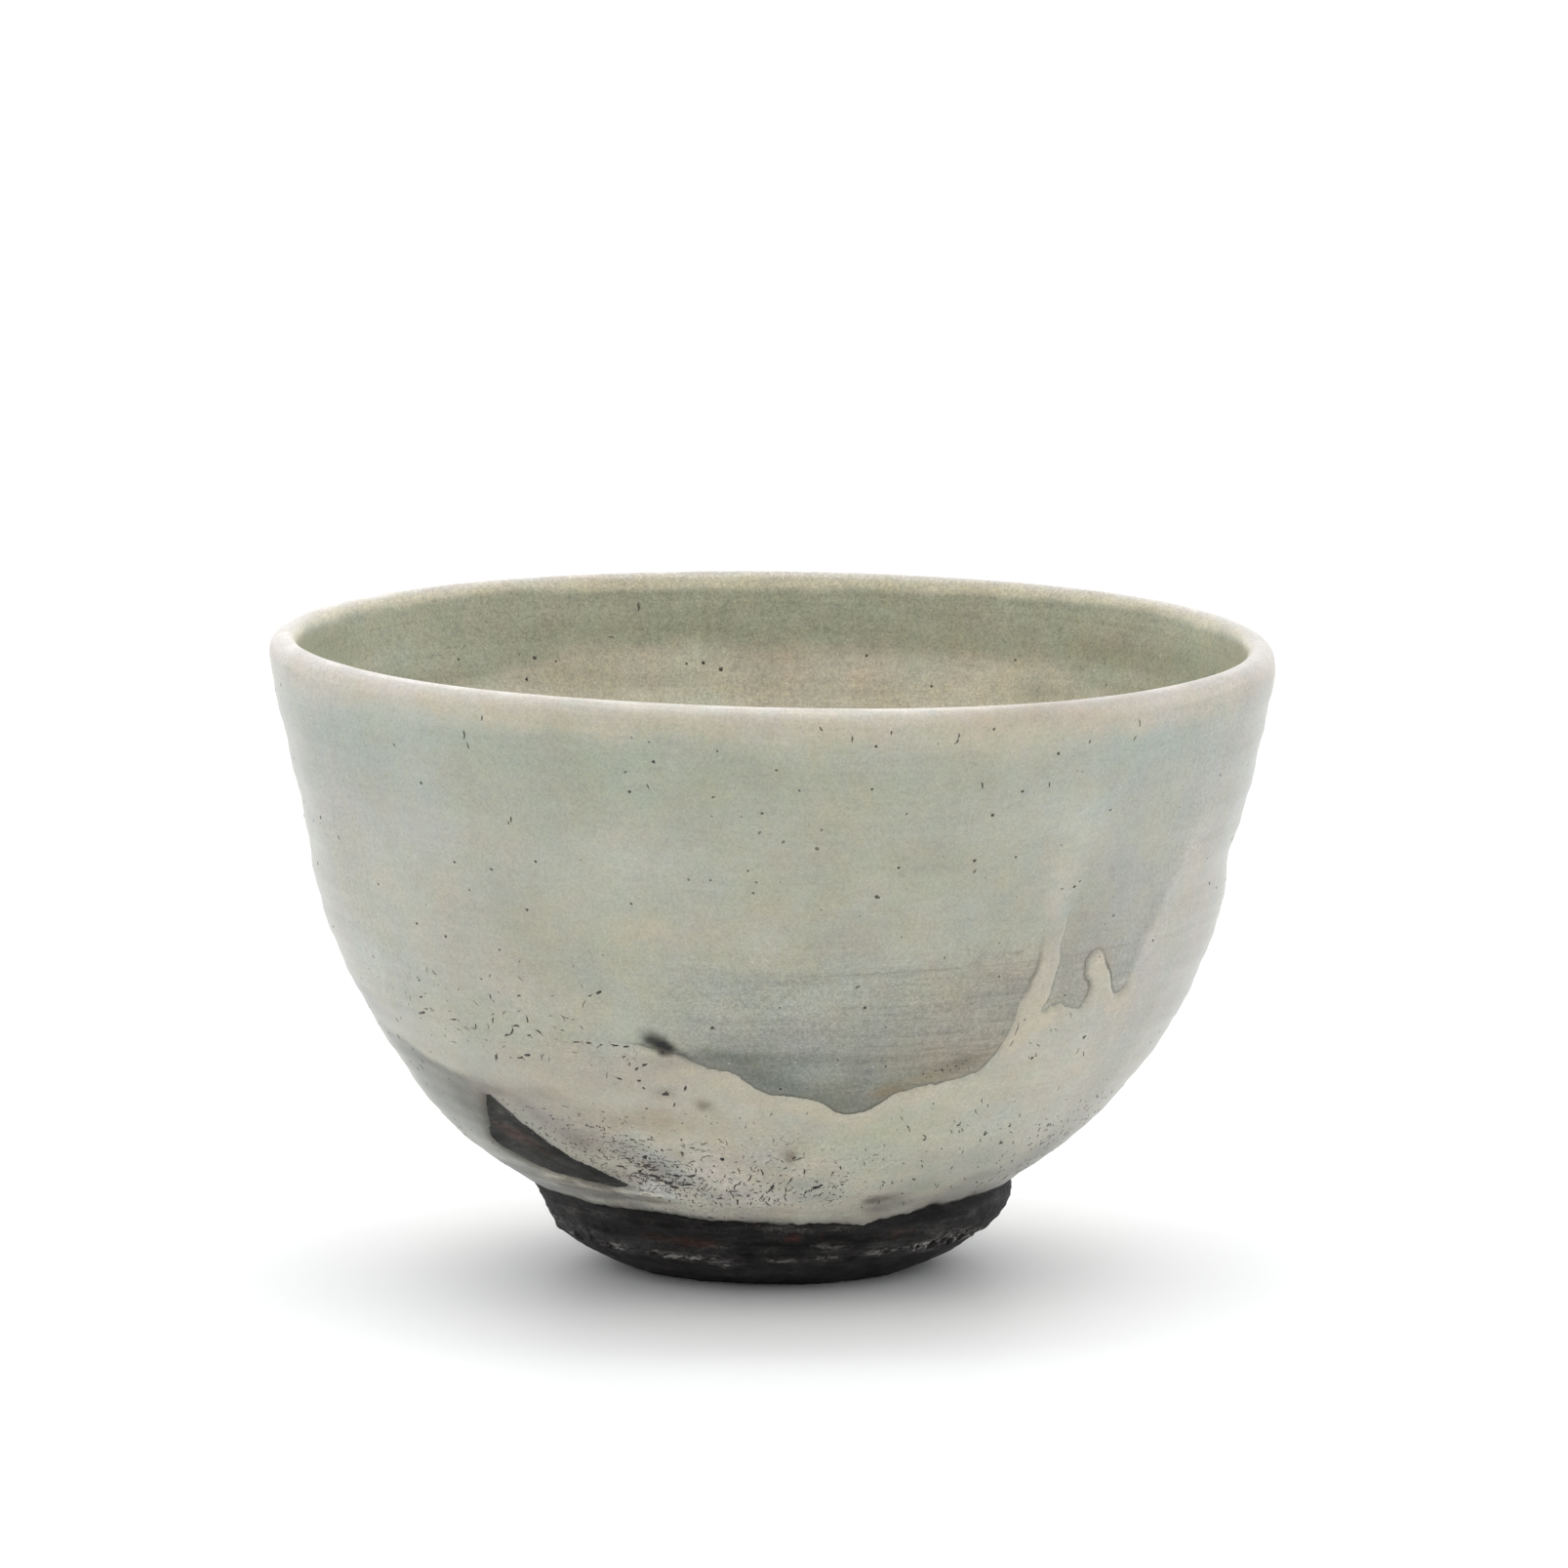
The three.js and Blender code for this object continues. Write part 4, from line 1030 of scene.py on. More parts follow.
# ------------------------------------------------------------------ materials
class Mat:
    """A node material. All coordinates are object space, so the pattern stays on the piece."""

    def __init__(self, name):
        self.m = bpy.data.materials.new(name)
        self.m.use_nodes = True
        self.t = self.m.node_tree
        self.b = self.t.nodes["Principled BSDF"]
        self.tc = self.t.nodes.new("ShaderNodeTexCoord")
        self.mm = self.t.nodes.new("ShaderNodeVectorMath")
        self.mm.operation = "SCALE"
        self.mm.inputs["Scale"].default_value = 1000.0
        self.link(self.tc.outputs["Object"], self.mm.inputs[0])
        self.pos = self.mm.outputs[0]  # millimetres

    def link(self, a, b):
        self.t.links.new(a, b)

    def put(self, socket, value):
        if isinstance(value, bpy.types.NodeSocket):
            self.link(value, socket)
        else:
            socket.default_value = value

    def attr(self, name, out="Fac"):
        n = self.t.nodes.new("ShaderNodeAttribute")
        n.attribute_name = name
        return n.outputs[out]

    def scaled(self, s):
        n = self.t.nodes.new("ShaderNodeVectorMath")
        n.operation = "MULTIPLY"
        self.link(self.pos, n.inputs[0])
        n.inputs[1].default_value = s
        return n.outputs[0]

    def noise(self, scale, detail=3.0, rough=0.5, vec=None, dist=0.0):
        n = self.t.nodes.new("ShaderNodeTexNoise")
        self.link(vec or self.pos, n.inputs["Vector"])
        n.inputs["Scale"].default_value = scale
        n.inputs["Detail"].default_value = detail
        n.inputs["Roughness"].default_value = rough
        n.inputs["Distortion"].default_value = dist
        return n.outputs["Fac"]

    def voronoi(self, scale, feature="F1", vec=None, out="Distance", rand=1.0):
        n = self.t.nodes.new("ShaderNodeTexVoronoi")
        n.feature = feature
        self.link(vec or self.pos, n.inputs["Vector"])
        n.inputs["Scale"].default_value = scale
        n.inputs["Randomness"].default_value = rand
        return n.outputs[out]

    def math(self, op, a, b=0.0, c=0.0, clamp=False):
        n = self.t.nodes.new("ShaderNodeMath")
        n.operation = op
        n.use_clamp = clamp
        for s, v in zip(n.inputs, (a, b, c)):
            self.put(s, v)
        return n.outputs[0]

    def ramp(self, v, a, b, lo=0.0, hi=1.0):
        """Smooth step of v from a to b, giving lo to hi."""
        n = self.t.nodes.new("ShaderNodeMapRange")
        n.interpolation_type = "SMOOTHSTEP"
        self.put(n.inputs["Value"], v)
        n.inputs["From Min"].default_value = a
        n.inputs["From Max"].default_value = b
        n.inputs["To Min"].default_value = lo
        n.inputs["To Max"].default_value = hi
        return n.outputs["Result"]

    def mix(self, k, a, b, mode="MIX"):
        n = self.t.nodes.new("ShaderNodeMix")
        n.data_type = "RGBA"
        n.blend_type = mode
        n.clamp_factor = True
        self.put(n.inputs[0], k)
        for i, v in ((6, a), (7, b)):
            if isinstance(v, bpy.types.NodeSocket):
                self.link(v, n.inputs[i])
            else:
                n.inputs[i].default_value = (*v, 1.0)
        return n.outputs[2]

    def times(self, colour, k):
        """Colour times a number."""
        n = self.t.nodes.new("ShaderNodeVectorMath")
        n.operation = "SCALE"
        self.link(colour, n.inputs[0])
        self.put(n.inputs["Scale"], k)
        return n.outputs[0]

    def bump(self, height, distance, strength=1.0, below=None):
        n = self.t.nodes.new("ShaderNodeBump")
        self.put(n.inputs["Height"], height)
        n.inputs["Distance"].default_value = distance
        n.inputs["Strength"].default_value = strength
        if below is not None:
            self.link(below, n.inputs["Normal"])
        return n.outputs["Normal"]

    def dots(self, scale, radius, share, soft=0.35, vec=None):
        """1 inside scattered round dots. Scale is cells per mm, radius is in mm, share of cells that hold one."""
        n = self.t.nodes.new("ShaderNodeTexVoronoi")
        self.link(vec or self.pos, n.inputs["Vector"])
        n.inputs["Scale"].default_value = scale
        sep = self.t.nodes.new("ShaderNodeSeparateColor")
        self.link(n.outputs["Color"], sep.inputs[0])
        size = self.math("MULTIPLY_ADD", sep.outputs[1], radius * scale * 0.7, radius * scale * 0.45)
        inner = self.math("MULTIPLY", size, 1.0 - soft)
        t = self.math("DIVIDE", self.math("SUBTRACT", n.outputs["Distance"], inner), self.math("SUBTRACT", size, inner))
        disc = self.math("SUBTRACT", 1.0, t, clamp=True)
        has = self.math("LESS_THAN", sep.outputs[0], share)
        return self.math("MULTIPLY", disc, has)


def glaze_material(name, kind):
    m = Mat(name)
    col = m.attr("tint", "Color")
    # mottling at four scales, and faint wheel lines
    big = m.noise(0.22, 3.0, 0.55)
    mid = m.noise(0.9, 4.0, 0.6)
    fine = m.noise(2.4, 3.0, 0.7)
    grain = m.noise(5.5, 2.0, 0.7)
    wheel = m.noise(1.0, 4.0, 0.6, m.scaled((0.10, 0.10, 1.5)))
    amp = m.attr("grain")
    k = m.math("MULTIPLY_ADD", m.math("SUBTRACT", mid, 0.5), 0.24, m.math("MULTIPLY", m.math("SUBTRACT", big, 0.5), 0.12))
    k = m.math("MULTIPLY_ADD", m.math("SUBTRACT", fine, 0.5), 0.50, k)
    k = m.math("MULTIPLY_ADD", m.math("SUBTRACT", grain, 0.5), 0.55, k)
    k = m.math("MULTIPLY_ADD", m.math("SUBTRACT", wheel, 0.5), 0.16, k)
    col = m.times(col, m.math("MULTIPLY_ADD", k, amp, 1.0))
    # pink and green drift, yellow and blue flecks
    drift = m.noise(0.30, 3.0, 0.55)
    col = m.mix(m.ramp(drift, 0.48, 0.66, 0.0, 0.5), col, m.mix(1.0, col, (1.05, 0.99, 0.955), "MULTIPLY"))
    col = m.mix(m.ramp(drift, 0.50, 0.34, 0.0, 0.5), col, m.mix(1.0, col, (0.955, 1.01, 0.99), "MULTIPLY"))
    fleck = m.noise(1.3, 2.0, 0.6, m.scaled((1.0, 1.0, 1.0)))
    col = m.mix(m.ramp(fleck, 0.42, 0.60), m.mix(1.0, col, (1.0, 1.0, 1.015), "MULTIPLY"), m.mix(1.0, col, (1.004, 1.0, 0.978), "MULTIPLY"))
    tide = m.noise(0.16, 3.0, 0.6)
    col = m.mix(m.ramp(tide, 0.38, 0.62), m.mix(1.0, col, (1.0, 1.0, 1.022), "MULTIPLY"), m.mix(1.0, col, (1.004, 1.0, 0.974), "MULTIPLY"))
    # pale pin dots and fine iron
    pale = m.dots(0.55, 0.12, 0.34, 0.6)
    col = m.mix(m.math("MULTIPLY", pale, 0.36), col, tuple(own((212, 3, 12))))
    iron = m.dots(0.40, 0.10, 0.30, 0.5, m.scaled((1.0, 1.0, 1.3)))
    col = m.mix(m.math("MULTIPLY", iron, 0.5), col, tuple(own((96, 3, 10))))
    sd = m.attr("edge")
    height = m.math("MULTIPLY_ADD", mid, 0.55, m.math("MULTIPLY", fine, 0.3))
    if kind == "outer":
        # glaze gathers and darkens in a thin line along the pour
        line = m.math("MULTIPLY", m.ramp(sd, -0.55, -0.08), m.attr("gather"))
        col = m.mix(m.math("MULTIPLY", line, m.math("MULTIPLY_ADD", mid, 0.8, 0.3)), col, tuple(own((88, 3, 8))))
        # thin brown and grey wheel streaks low in the glaze
        runs = m.noise(1.0, 5.0, 0.65, m.scaled((0.13, 0.13, 2.4)))
        at = m.attr("runs")
        col = m.times(col, m.math("MULTIPLY_ADD", m.math("SUBTRACT", runs, 0.5), m.math("MULTIPLY", at, 0.75), 1.0))
        col = m.mix(m.math("MULTIPLY", m.ramp(runs, 0.50, 0.66), m.math("MULTIPLY", at, 0.38)), col, tuple(own((146, 5, 14))))
        lights = m.noise(1.7, 4.0, 0.6, m.scaled((0.16, 0.16, 2.6)))
        col = m.mix(m.math("MULTIPLY", m.ramp(lights, 0.58, 0.70), m.math("MULTIPLY", at, 0.35)), col, tuple(own((182, 2, 12))))
        # the rib's thin scratch
        off = m.math("ABSOLUTE", m.math("MULTIPLY_ADD", m.math("SUBTRACT", mid, 0.5), 0.5, m.attr("scratch")))
        cut = m.math("MULTIPLY", m.ramp(off, 0.20, 0.05), m.attr("scratched"))
        col = m.mix(m.math("MULTIPLY", cut, m.ramp(fine, 0.42, 0.60, 0.0, 0.8)), col, tuple(own((130, 0, 11))))
    if kind == "slip":
        # tiny cracks of bare clay, thick towards the foot on the left
        crack_at = m.attr("cracks")
        v = m.voronoi(0.85, "DISTANCE_TO_EDGE", m.scaled((1.0, 1.0, 1.9)))
        part = m.ramp(m.noise(0.9, 2.0, 0.5), 0.56, 0.64)
        crack = m.math("MULTIPLY", m.ramp(v, 0.06, 0.025), m.math("MULTIPLY", part, crack_at))
        col = m.mix(m.math("MULTIPLY", crack, 0.75), col, tuple(own((62, 4, 3))))
        pits = m.dots(0.85, 0.10, 0.6, 0.5)
        col = m.mix(m.math("MULTIPLY", m.math("MULTIPLY", pits, crack_at), 0.7), col, tuple(own((68, 6, 5))))
    if kind == "inner":
        craze_at = m.attr("craze")
        warp = m.noise(0.5, 2.0, 0.5)
        add = m.t.nodes.new("ShaderNodeVectorMath")
        add.operation = "ADD"
        m.link(m.pos, add.inputs[0])
        m.link(m.math("MULTIPLY", warp, 1.5), add.inputs[1])
        v = m.voronoi(0.75, "DISTANCE_TO_EDGE", add.outputs[0])
        v2 = m.voronoi(1.7, "DISTANCE_TO_EDGE", add.outputs[0])
        lines = m.math("MAXIMUM", m.ramp(v, 0.035, 0.012), m.math("MULTIPLY", m.ramp(v2, 0.05, 0.02), 0.45))
        lines = m.math("MULTIPLY", lines, craze_at)
        lines = m.math("MULTIPLY", lines, m.ramp(m.noise(0.7, 2.0, 0.5), 0.35, 0.6))
        col = m.mix(m.math("MULTIPLY", lines, 0.30), col, tuple(own((100, -2, 14))))
        spots = m.dots(0.30, 0.22, 0.30, 0.5)
        col = m.mix(m.math("MULTIPLY", spots, 0.7), col, tuple(own((84, 4, 14))))
        white = m.dots(0.33, 0.30, 0.22, 0.6, m.scaled((1.1, 1.0, 1.2)))
        col = m.mix(m.math("MULTIPLY", white, 0.5), col, tuple(own((214, 2, 12))))
    m.link(col, m.b.inputs["Base Color"])
    rough = m.math("MULTIPLY_ADD", mid, 0.14, 0.27)
    m.link(rough, m.b.inputs["Roughness"])
    m.b.inputs["IOR"].default_value = 1.4
    m.b.inputs["Coat Weight"].default_value = 0.15
    m.b.inputs["Coat Roughness"].default_value = 0.08
    m.b.inputs["Coat IOR"].default_value = 1.45
    m.link(m.bump(height, 0.00012, 0.6), m.b.inputs["Normal"])
    return m.m


def clay_material(name, gloss, strong):
    m = Mat(name)
    col = m.attr("tint", "Color")
    big = m.noise(0.35, 4.0, 0.6)
    streak = m.noise(0.55, 5.0, 0.65, m.scaled((1.0, 1.0, 6.0)))
    grain = m.noise(5.0, 4.0, 0.8)
    k = m.math("MULTIPLY_ADD", m.math("SUBTRACT", big, 0.5), 1.0, 1.0)
    k = m.math("MULTIPLY", k, m.math("MULTIPLY_ADD", m.math("SUBTRACT", streak, 0.5), 3.2 * strong, 1.0))
    k = m.math("MULTIPLY", k, m.math("MULTIPLY_ADD", m.math("SUBTRACT", grain, 0.5), 5.6 * strong, 1.0))
    fine = m.noise(2.4, 5.0, 0.85)
    k = m.math("MULTIPLY", k, m.math("MULTIPLY_ADD", m.math("SUBTRACT", fine, 0.5), 2.4 * strong, 1.04))
    col = m.times(col, m.math("MAXIMUM", k, 0.18))
    rust = m.math("MULTIPLY", m.ramp(m.noise(0.6, 3.0, 0.6), 0.58, 0.72), 0.16)
    col = m.mix(rust, col, tuple(own((60, 26, 9), 0.6)))
    # pale worn grains and dark cracks
    worn = m.math("MULTIPLY", m.ramp(m.noise(2.2, 5.0, 0.75, m.scaled((1.0, 1.0, 2.4))), 0.60, 0.70), 0.50 * strong)
    col = m.mix(worn, col, tuple(own((112, 3, 5), 0.6)))
    slit = m.noise(0.8, 3.0, 0.6, m.scaled((1.0, 1.0, 5.0)))
    slit = m.ramp(m.math("ABSOLUTE", m.math("SUBTRACT", slit, 0.5)), 0.018, 0.004)
    col = m.mix(m.math("MULTIPLY", slit, 0.6 * strong), col, (0.004, 0.004, 0.004))
    sand = m.dots(0.9, 0.11, 0.20, 0.5)
    col = m.mix(m.math("MULTIPLY", sand, 0.35), col, tuple(own((118, 7, 8), 0.6)))
    dark = m.ramp(m.noise(1.9, 5.0, 0.8, m.scaled((1.3, 1.3, 2.2))), 0.48, 0.36)
    col = m.times(col, m.math("MULTIPLY_ADD", dark, -0.45 * strong, 1.0))
    scuff = m.attr("scuff")
    flakes = m.ramp(m.noise(1.1, 5.0, 0.75, m.scaled((0.8, 0.8, 2.6))), 0.47, 0.56)
    flakes = m.math("MULTIPLY", flakes, scuff)
    col = m.mix(m.math("MULTIPLY", flakes, 0.9), col, tuple(own((142, 3, 3), 0.55)))
    m.link(col, m.b.inputs["Base Color"])
    rough = m.math("MULTIPLY_ADD", grain, 0.30, 0.60 - gloss)
    m.link(rough, m.b.inputs["Roughness"])
    m.b.inputs["IOR"].default_value = 1.42
    m.b.inputs["Specular IOR Level"].default_value = 0.3
    height = m.math("MULTIPLY_ADD", streak, 0.7, m.math("MULTIPLY", grain, 0.6))
    height = m.math("SUBTRACT", height, m.math("MULTIPLY", slit, 0.25))
    pits = m.math("SUBTRACT", height, m.math("MULTIPLY", m.dots(0.8, 0.16, 0.25, 0.7, m.scaled((1.0, 1.0, 1.6))), 0.9))
    m.link(m.bump(pits, 0.00036, 0.9), m.b.inputs["Normal"])
    return m.m


def mark_material(name, c, c2):
    m = Mat(name)
    col = m.mix(m.ramp(m.noise(1.2, 3.0, 0.6), 0.35, 0.65), tuple(own(c)), tuple(own(c2)))
    m.link(col, m.b.inputs["Base Color"])
    m.link(m.math("MULTIPLY_ADD", m.noise(3.0), 0.2, 0.35), m.b.inputs["Roughness"])
    m.b.inputs["Coat Weight"].default_value = 0.3
    m.b.inputs["Coat Roughness"].default_value = 0.15
    return m.m


outer_mat = glaze_material("outer_glaze_look", "outer")
slip_mat = glaze_material("slip_look", "slip")
inner_mat = glaze_material("inner_glaze_look", "inner")
clay_mat = clay_material("clay_look", 0.10, 0.7)
foot_mat = clay_material("foot_look", 0.10, 1.0)


def dress(ob, mat, node):
    ob.data.materials.append(mat)
    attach(ob, "root" if "root" in frame["bodies"] else list(frame["bodies"])[0])
    if node:
        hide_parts(node)
    return ob


# ------------------------------------------------------------------ outer glaze
def flat_noise_points(deg, r, z):
    a = np.radians(deg)
    return np.stack([r * np.sin(a), -r * np.cos(a), z], -1)


K = 4
u0 = wall_u_at(24.0)
U_SEAM = U_LIP + 6.2
U = rows([(u0, wall_u_at(57.0), 0.50), (wall_u_at(57.0), wall_u_at(73.0), 0.70), (wall_u_at(73.0), U_SEAM, 0.30)], K)
D = columns([(-90, -24, 0.62), (-24, 60, 0.36), (60, 90, 0.62), (90, 270, 0.75)], K)
u, deg = grid(U, D)
uf, df = u.ravel(), deg.ravel()
r, z, n = skin.at(uf)
over = uf > U_LIP
P = flat_noise_points(df, r, z)
zz = np.where(over, 75.7, z)
Fo = fields(df, np.where(over, 75.0, z))
h = relief(df, np.where(over, 74.0, z), P) * (1 - 0.75 * smooth(71.0, 75.0, zz)) * (1 - smooth(U_LIP - 0.5, U_LIP + 2.0, uf))
h += 0.05 * smooth(60, 70, zz) * (1 - smooth(U_LIP, U_LIP + 2.0, uf))
h += np.where(uf > U_LIP, 0.03 * (1 - smooth(U_SEAM - 2.6, U_SEAM - 1.4, uf)), 0.0)
h -= 0.45 * smooth(U_SEAM - 1.6, U_SEAM, uf)
sd = np.where(over, -12.0, Fo[0])
top = place(df, r + n[:, 0] * h, z + n[:, 1] * h).reshape(*u.shape, 3)
hb = np.minimum(h, 0) - 0.45
bottom = place(df, r + n[:, 0] * hb, z + n[:, 1] * hb).reshape(*u.shape, 3)
col = as_own(smear(glaze_colour(df, z, P), df, z, P), outside_light(z))
inner_side = smooth(U_LIP + 0.2, U_LIP + 1.8, uf)
ci, _ = inside_colour(df, uf, z, r, P)
col = col * (1 - inner_side)[:, None] + ci * inner_side[:, None]
dd = (df + 180) % 360 - 180
gather = pour_strength(df, z) * np.where(np.abs(dd) < 62, 0.95 - 0.50 * smooth(13, 19, dd) + 0.12 * smooth(35, 39, dd), 0.8)
gather = gather + 0.5 * smooth(41.6, 42.8, dd) * (1 - smooth(49.5, 51, dd)) * smooth(38.5, 40.5, z)
gather = gather * np.clip(0.75 + 0.6 * fbm(P, 5, 2, 77), 0.15, 1.1) * (1 - 0.8 * smooth(50.6, 51.8, dd) * (1 - smooth(76, 84, dd)) * smooth(38.5, 41, z))
rough_at = 1.0 + 0.85 * smooth(-20, -6, dd) * (1 - smooth(56, 64, dd)) * (1 - smooth(38, 50, z)) + 0.1 * smooth(50, 40, z)
rough_at = np.where(over, 1.3, rough_at) * (1 + 0.55 * smooth(48, 66, np.abs(dd)))
runs_at = smooth(5, 15, dd) * (1 - smooth(33, 37, dd)) * smooth(29, 32, z) * (1 - smooth(41, 47, z))
runs_at = runs_at + 0.35 * smooth(-14, -6, dd) * (1 - smooth(4, 12, dd)) * smooth(33, 35, z) * (1 - smooth(40, 46, z))
dq = df % 360
runs_at = runs_at + 0.6 * smooth(100, 120, dq) * (1 - smooth(215, 240, dq)) * (1 - smooth(40, 46, z))
cut_at = smooth(-8, 4, dd) * (1 - smooth(52, 60, dd)) * np.clip(0.8 + 0.8 * fbm(P, 6, 2, 76), 0.1, 1.0)
blocks = np.ones(((len(U) - 1) // K, len(D) // K), bool)
sdg = sd.reshape(u.shape)
for i in range(blocks.shape[0]):
    for j in range(blocks.shape[1]):
        c = sdg[i * K:(i + 1) * K + 1, np.arange(j * K, (j + 1) * K + 1) % len(D)]
        blocks[i, j] = c.min() < 1.0
glaze_out = shell(
    "outer_glaze_coat", top, bottom, blocks, K, col.reshape(*u.shape, 3),
    {"edge": sd.reshape(u.shape), "gather": gather.reshape(u.shape), "grain": rough_at.reshape(u.shape),
     "scratch": (z - (43.4 + 0.8 * np.sin(np.radians(df - 20)))).reshape(u.shape), "scratched": cut_at.reshape(u.shape),
     "runs": runs_at.reshape(u.shape)},
)
dress(glaze_out, outer_mat, "outer_glaze")

# ------------------------------------------------------------------ cream pour
U = rows([(0.0, wall_u_at(12.0), 0.32), (wall_u_at(12.0), wall_u_at(25.0), 0.55),
          (wall_u_at(25.0), wall_u_at(46.0), 0.30), (wall_u_at(46.0), wall_u_at(58.0), 0.5)], K)
D = columns([(-90, -24, 0.62), (-24, 30, 0.42), (30, 58, 0.26), (58, 90, 0.62), (90, 270, 0.75)], K)
u, deg = grid(U, D)
uf, df = u.ravel(), deg.ravel()
r, z, n = skin.at(uf)
P = flat_noise_points(df, r, z)
F = fields(df, z)
h0 = relief(df, z, P) + 0.05 * smooth(60, 70, z)
h = h0 + slip_level(df, z, P, F)
top = place(df, r + n[:, 0] * h, z + n[:, 1] * h).reshape(*u.shape, 3)
hb = np.minimum(h, h0) - 0.4
bottom = place(df, r + n[:, 0] * hb, z + n[:, 1] * hb).reshape(*u.shape, 3)
col = as_own(smear(slip_colour(df, z, P, F), df, z, P), outside_light(z))
keep = np.minimum(np.minimum(F[0] + 0.9, F[1] + 0.9), 0.9 - F[2]).reshape(u.shape)
blocks = np.ones(((len(U) - 1) // K, len(D) // K), bool)
for i in range(blocks.shape[0]):
    for j in range(blocks.shape[1]):
        c = keep[i * K:(i + 1) * K + 1, np.arange(j * K, (j + 1) * K + 1) % len(D)]
        blocks[i, j] = c.max() > 0
dd = (df + 180) % 360 - 180
cracks = smooth(-42, -30, dd) * (1 - smooth(12, 30, dd)) * (1 - smooth(19, 25, z)) * 1.0
cracks = np.maximum(cracks, 0.45 * smooth(-60, -50, dd) * (1 - smooth(-22, -14, dd)) * bell((z - 33.5) / 5.5))
cracks = np.maximum(cracks, 0.35 * smooth(20, 30, dd) * (1 - smooth(60, 75, dd)) * (1 - smooth(22, 30, z)))
dp = df % 360
cracks = np.maximum(cracks, 0.8 * smooth(120, 150, dp) * (1 - smooth(215, 240, dp)) * (1 - smooth(18, 25, z)))
cracks = np.clip(cracks * (0.9 + 0.8 * fbm(P, 8, 2, 95)), 0, 1)
rough_at = 1.0 + 0.3 * smooth(40, 60, dd) + 0.6 * cracks + 1.5 * smooth(-24, -36, dd) * smooth(-112, -92, dd) * (1 - smooth(14.5, 18, z)) + 0.7 * smooth(-40, -52, dd) * smooth(-112, -92, dd) * smooth(14.5, 18, z) * (1 - smooth(24, 29, z))
pour = shell(
    "cream_pour", top, bottom, blocks, K, col.reshape(*u.shape, 3),
    {"edge": F[0].reshape(u.shape), "cracks": cracks.reshape(u.shape), "grain": rough_at.reshape(u.shape)},
)
dress(pour, slip_mat, "slip_pour")

# ------------------------------------------------------------------ inside glaze
def inner_relief(deg, u, r, P):
    """Throwing spiral of the inside, mm along the surface."""
    v = u - U_LIP
    fade = smooth(2.0, 14.0, r)
    h = fade * (0.10 * np.sin(2 * np.pi * (v + deg / 360 * 7.0) / 7.0 + 1.2 * fbm(P, 30, 2, 111)) * smooth(4, 14, v)
                + (0.12 * fbm(P, 20, 2, 112) + 0.03 * fbm(P, 5, 2, 113)) * smooth(5.0, 11.0, v))
    return h + 0.04 * smooth(12, 4, r)


U = rows([(U_LIP + 2.6, U_LIP + 8.0, 0.45), (U_LIP + 8.0, skin.length - 30, 0.75), (skin.length - 30, skin.length - 1.6, 0.8)], K)
D = columns([(-90, 90, 0.9), (90, 270, 0.75)], K)
u, deg = grid(U, D)
uf, df = u.ravel(), deg.ravel()
r, z, n = skin.at(uf)
P = flat_noise_points(df, r, z)
h = inner_relief(df, uf, r, P)
h -= 0.35 * (1 - smooth(U_LIP + 2.6, U_LIP + 3.9, uf))
top = place(df, r + n[:, 0] * h, z + n[:, 1] * h).reshape(*u.shape, 3)
hb = np.minimum(h, 0) - 0.4
bottom = place(df, r + n[:, 0] * hb, z + n[:, 1] * hb).reshape(*u.shape, 3)
col, craze = inside_colour(df, uf, z, r, P)
blocks = np.ones(((len(U) - 1) // K, len(D) // K), bool)
glaze_in = shell(
    "inner_glaze_coat", top, bottom, blocks, K, col.reshape(*u.shape, 3),
    {"edge": np.full(u.shape, -12.0), "craze": craze.reshape(u.shape), "grain": np.full(u.shape, 1.8)}, cap=True,
)
dress(glaze_in, inner_mat, "inner_glaze")

# ------------------------------------------------------------------ clay wall and floor
under = np.array([(1.2, 8.25), (2.2, 8.5), (3.6, 8.85), (6.0, 9.0), (9.0, 9.0), (14.0, 9.0), (20.0, 9.0), (26.0, 9.0), (27.6, 9.05)])
U = np.concatenate([np.linspace(wall_u_at(9.6), wall_u_at(27.0), 64), np.linspace(wall_u_at(27.0), U_LIP, 50)[1:],
                    np.linspace(U_LIP, skin.length - 1.6, 70)[1:]])
D = columns([(-90, 90, 0.75), (90, 270, 1.2)], 2)
ru, zu, nu = skin.at(U)
lvl = np.where(U > U_LIP, -0.62, CLAY)
rows_r = np.concatenate([under[:, 0], ru])
rows_z = np.concatenate([under[:, 1], zu])
rows_n = np.concatenate([np.tile([0.0, -1.0], (len(under), 1)), nu])
rows_l = np.concatenate([np.zeros(len(under)), lvl])
is_wall = np.concatenate([np.zeros(len(under)), (U <= U_LIP).astype(float)])
deg = np.tile(D, len(rows_r))
rr = np.repeat(rows_r, len(D))
zz = np.repeat(rows_z, len(D))
nn = np.repeat(rows_n, len(D), 0)
ll = np.repeat(rows_l, len(D))
ww = np.repeat(is_wall, len(D))
P = flat_noise_points(deg, rr, zz)
hh = ll + ww * relief(deg, zz, P) * (1 - 0.75 * smooth(71.0, 75.0, zz)) + ww * 0.05 * fbm(P, 1.6, 3, 121)
hh += (1 - ww) * 0.05 * fbm(P, 3.0, 3, 122)
pts = place(deg, rr + nn[:, 0] * hh, zz + nn[:, 1] * hh).reshape(len(rows_r), len(D), 3)
clay_col = as_own(clay_colour(deg, zz, P), outside_light(zz), 0.012)
clay = revolved("clay_wall", pts, clay_col.reshape(len(rows_r), len(D), 3),
                {"scuff": np.zeros((len(rows_r), len(D)))}, loop=False)
dress(clay, clay_mat, "clay_bowl")

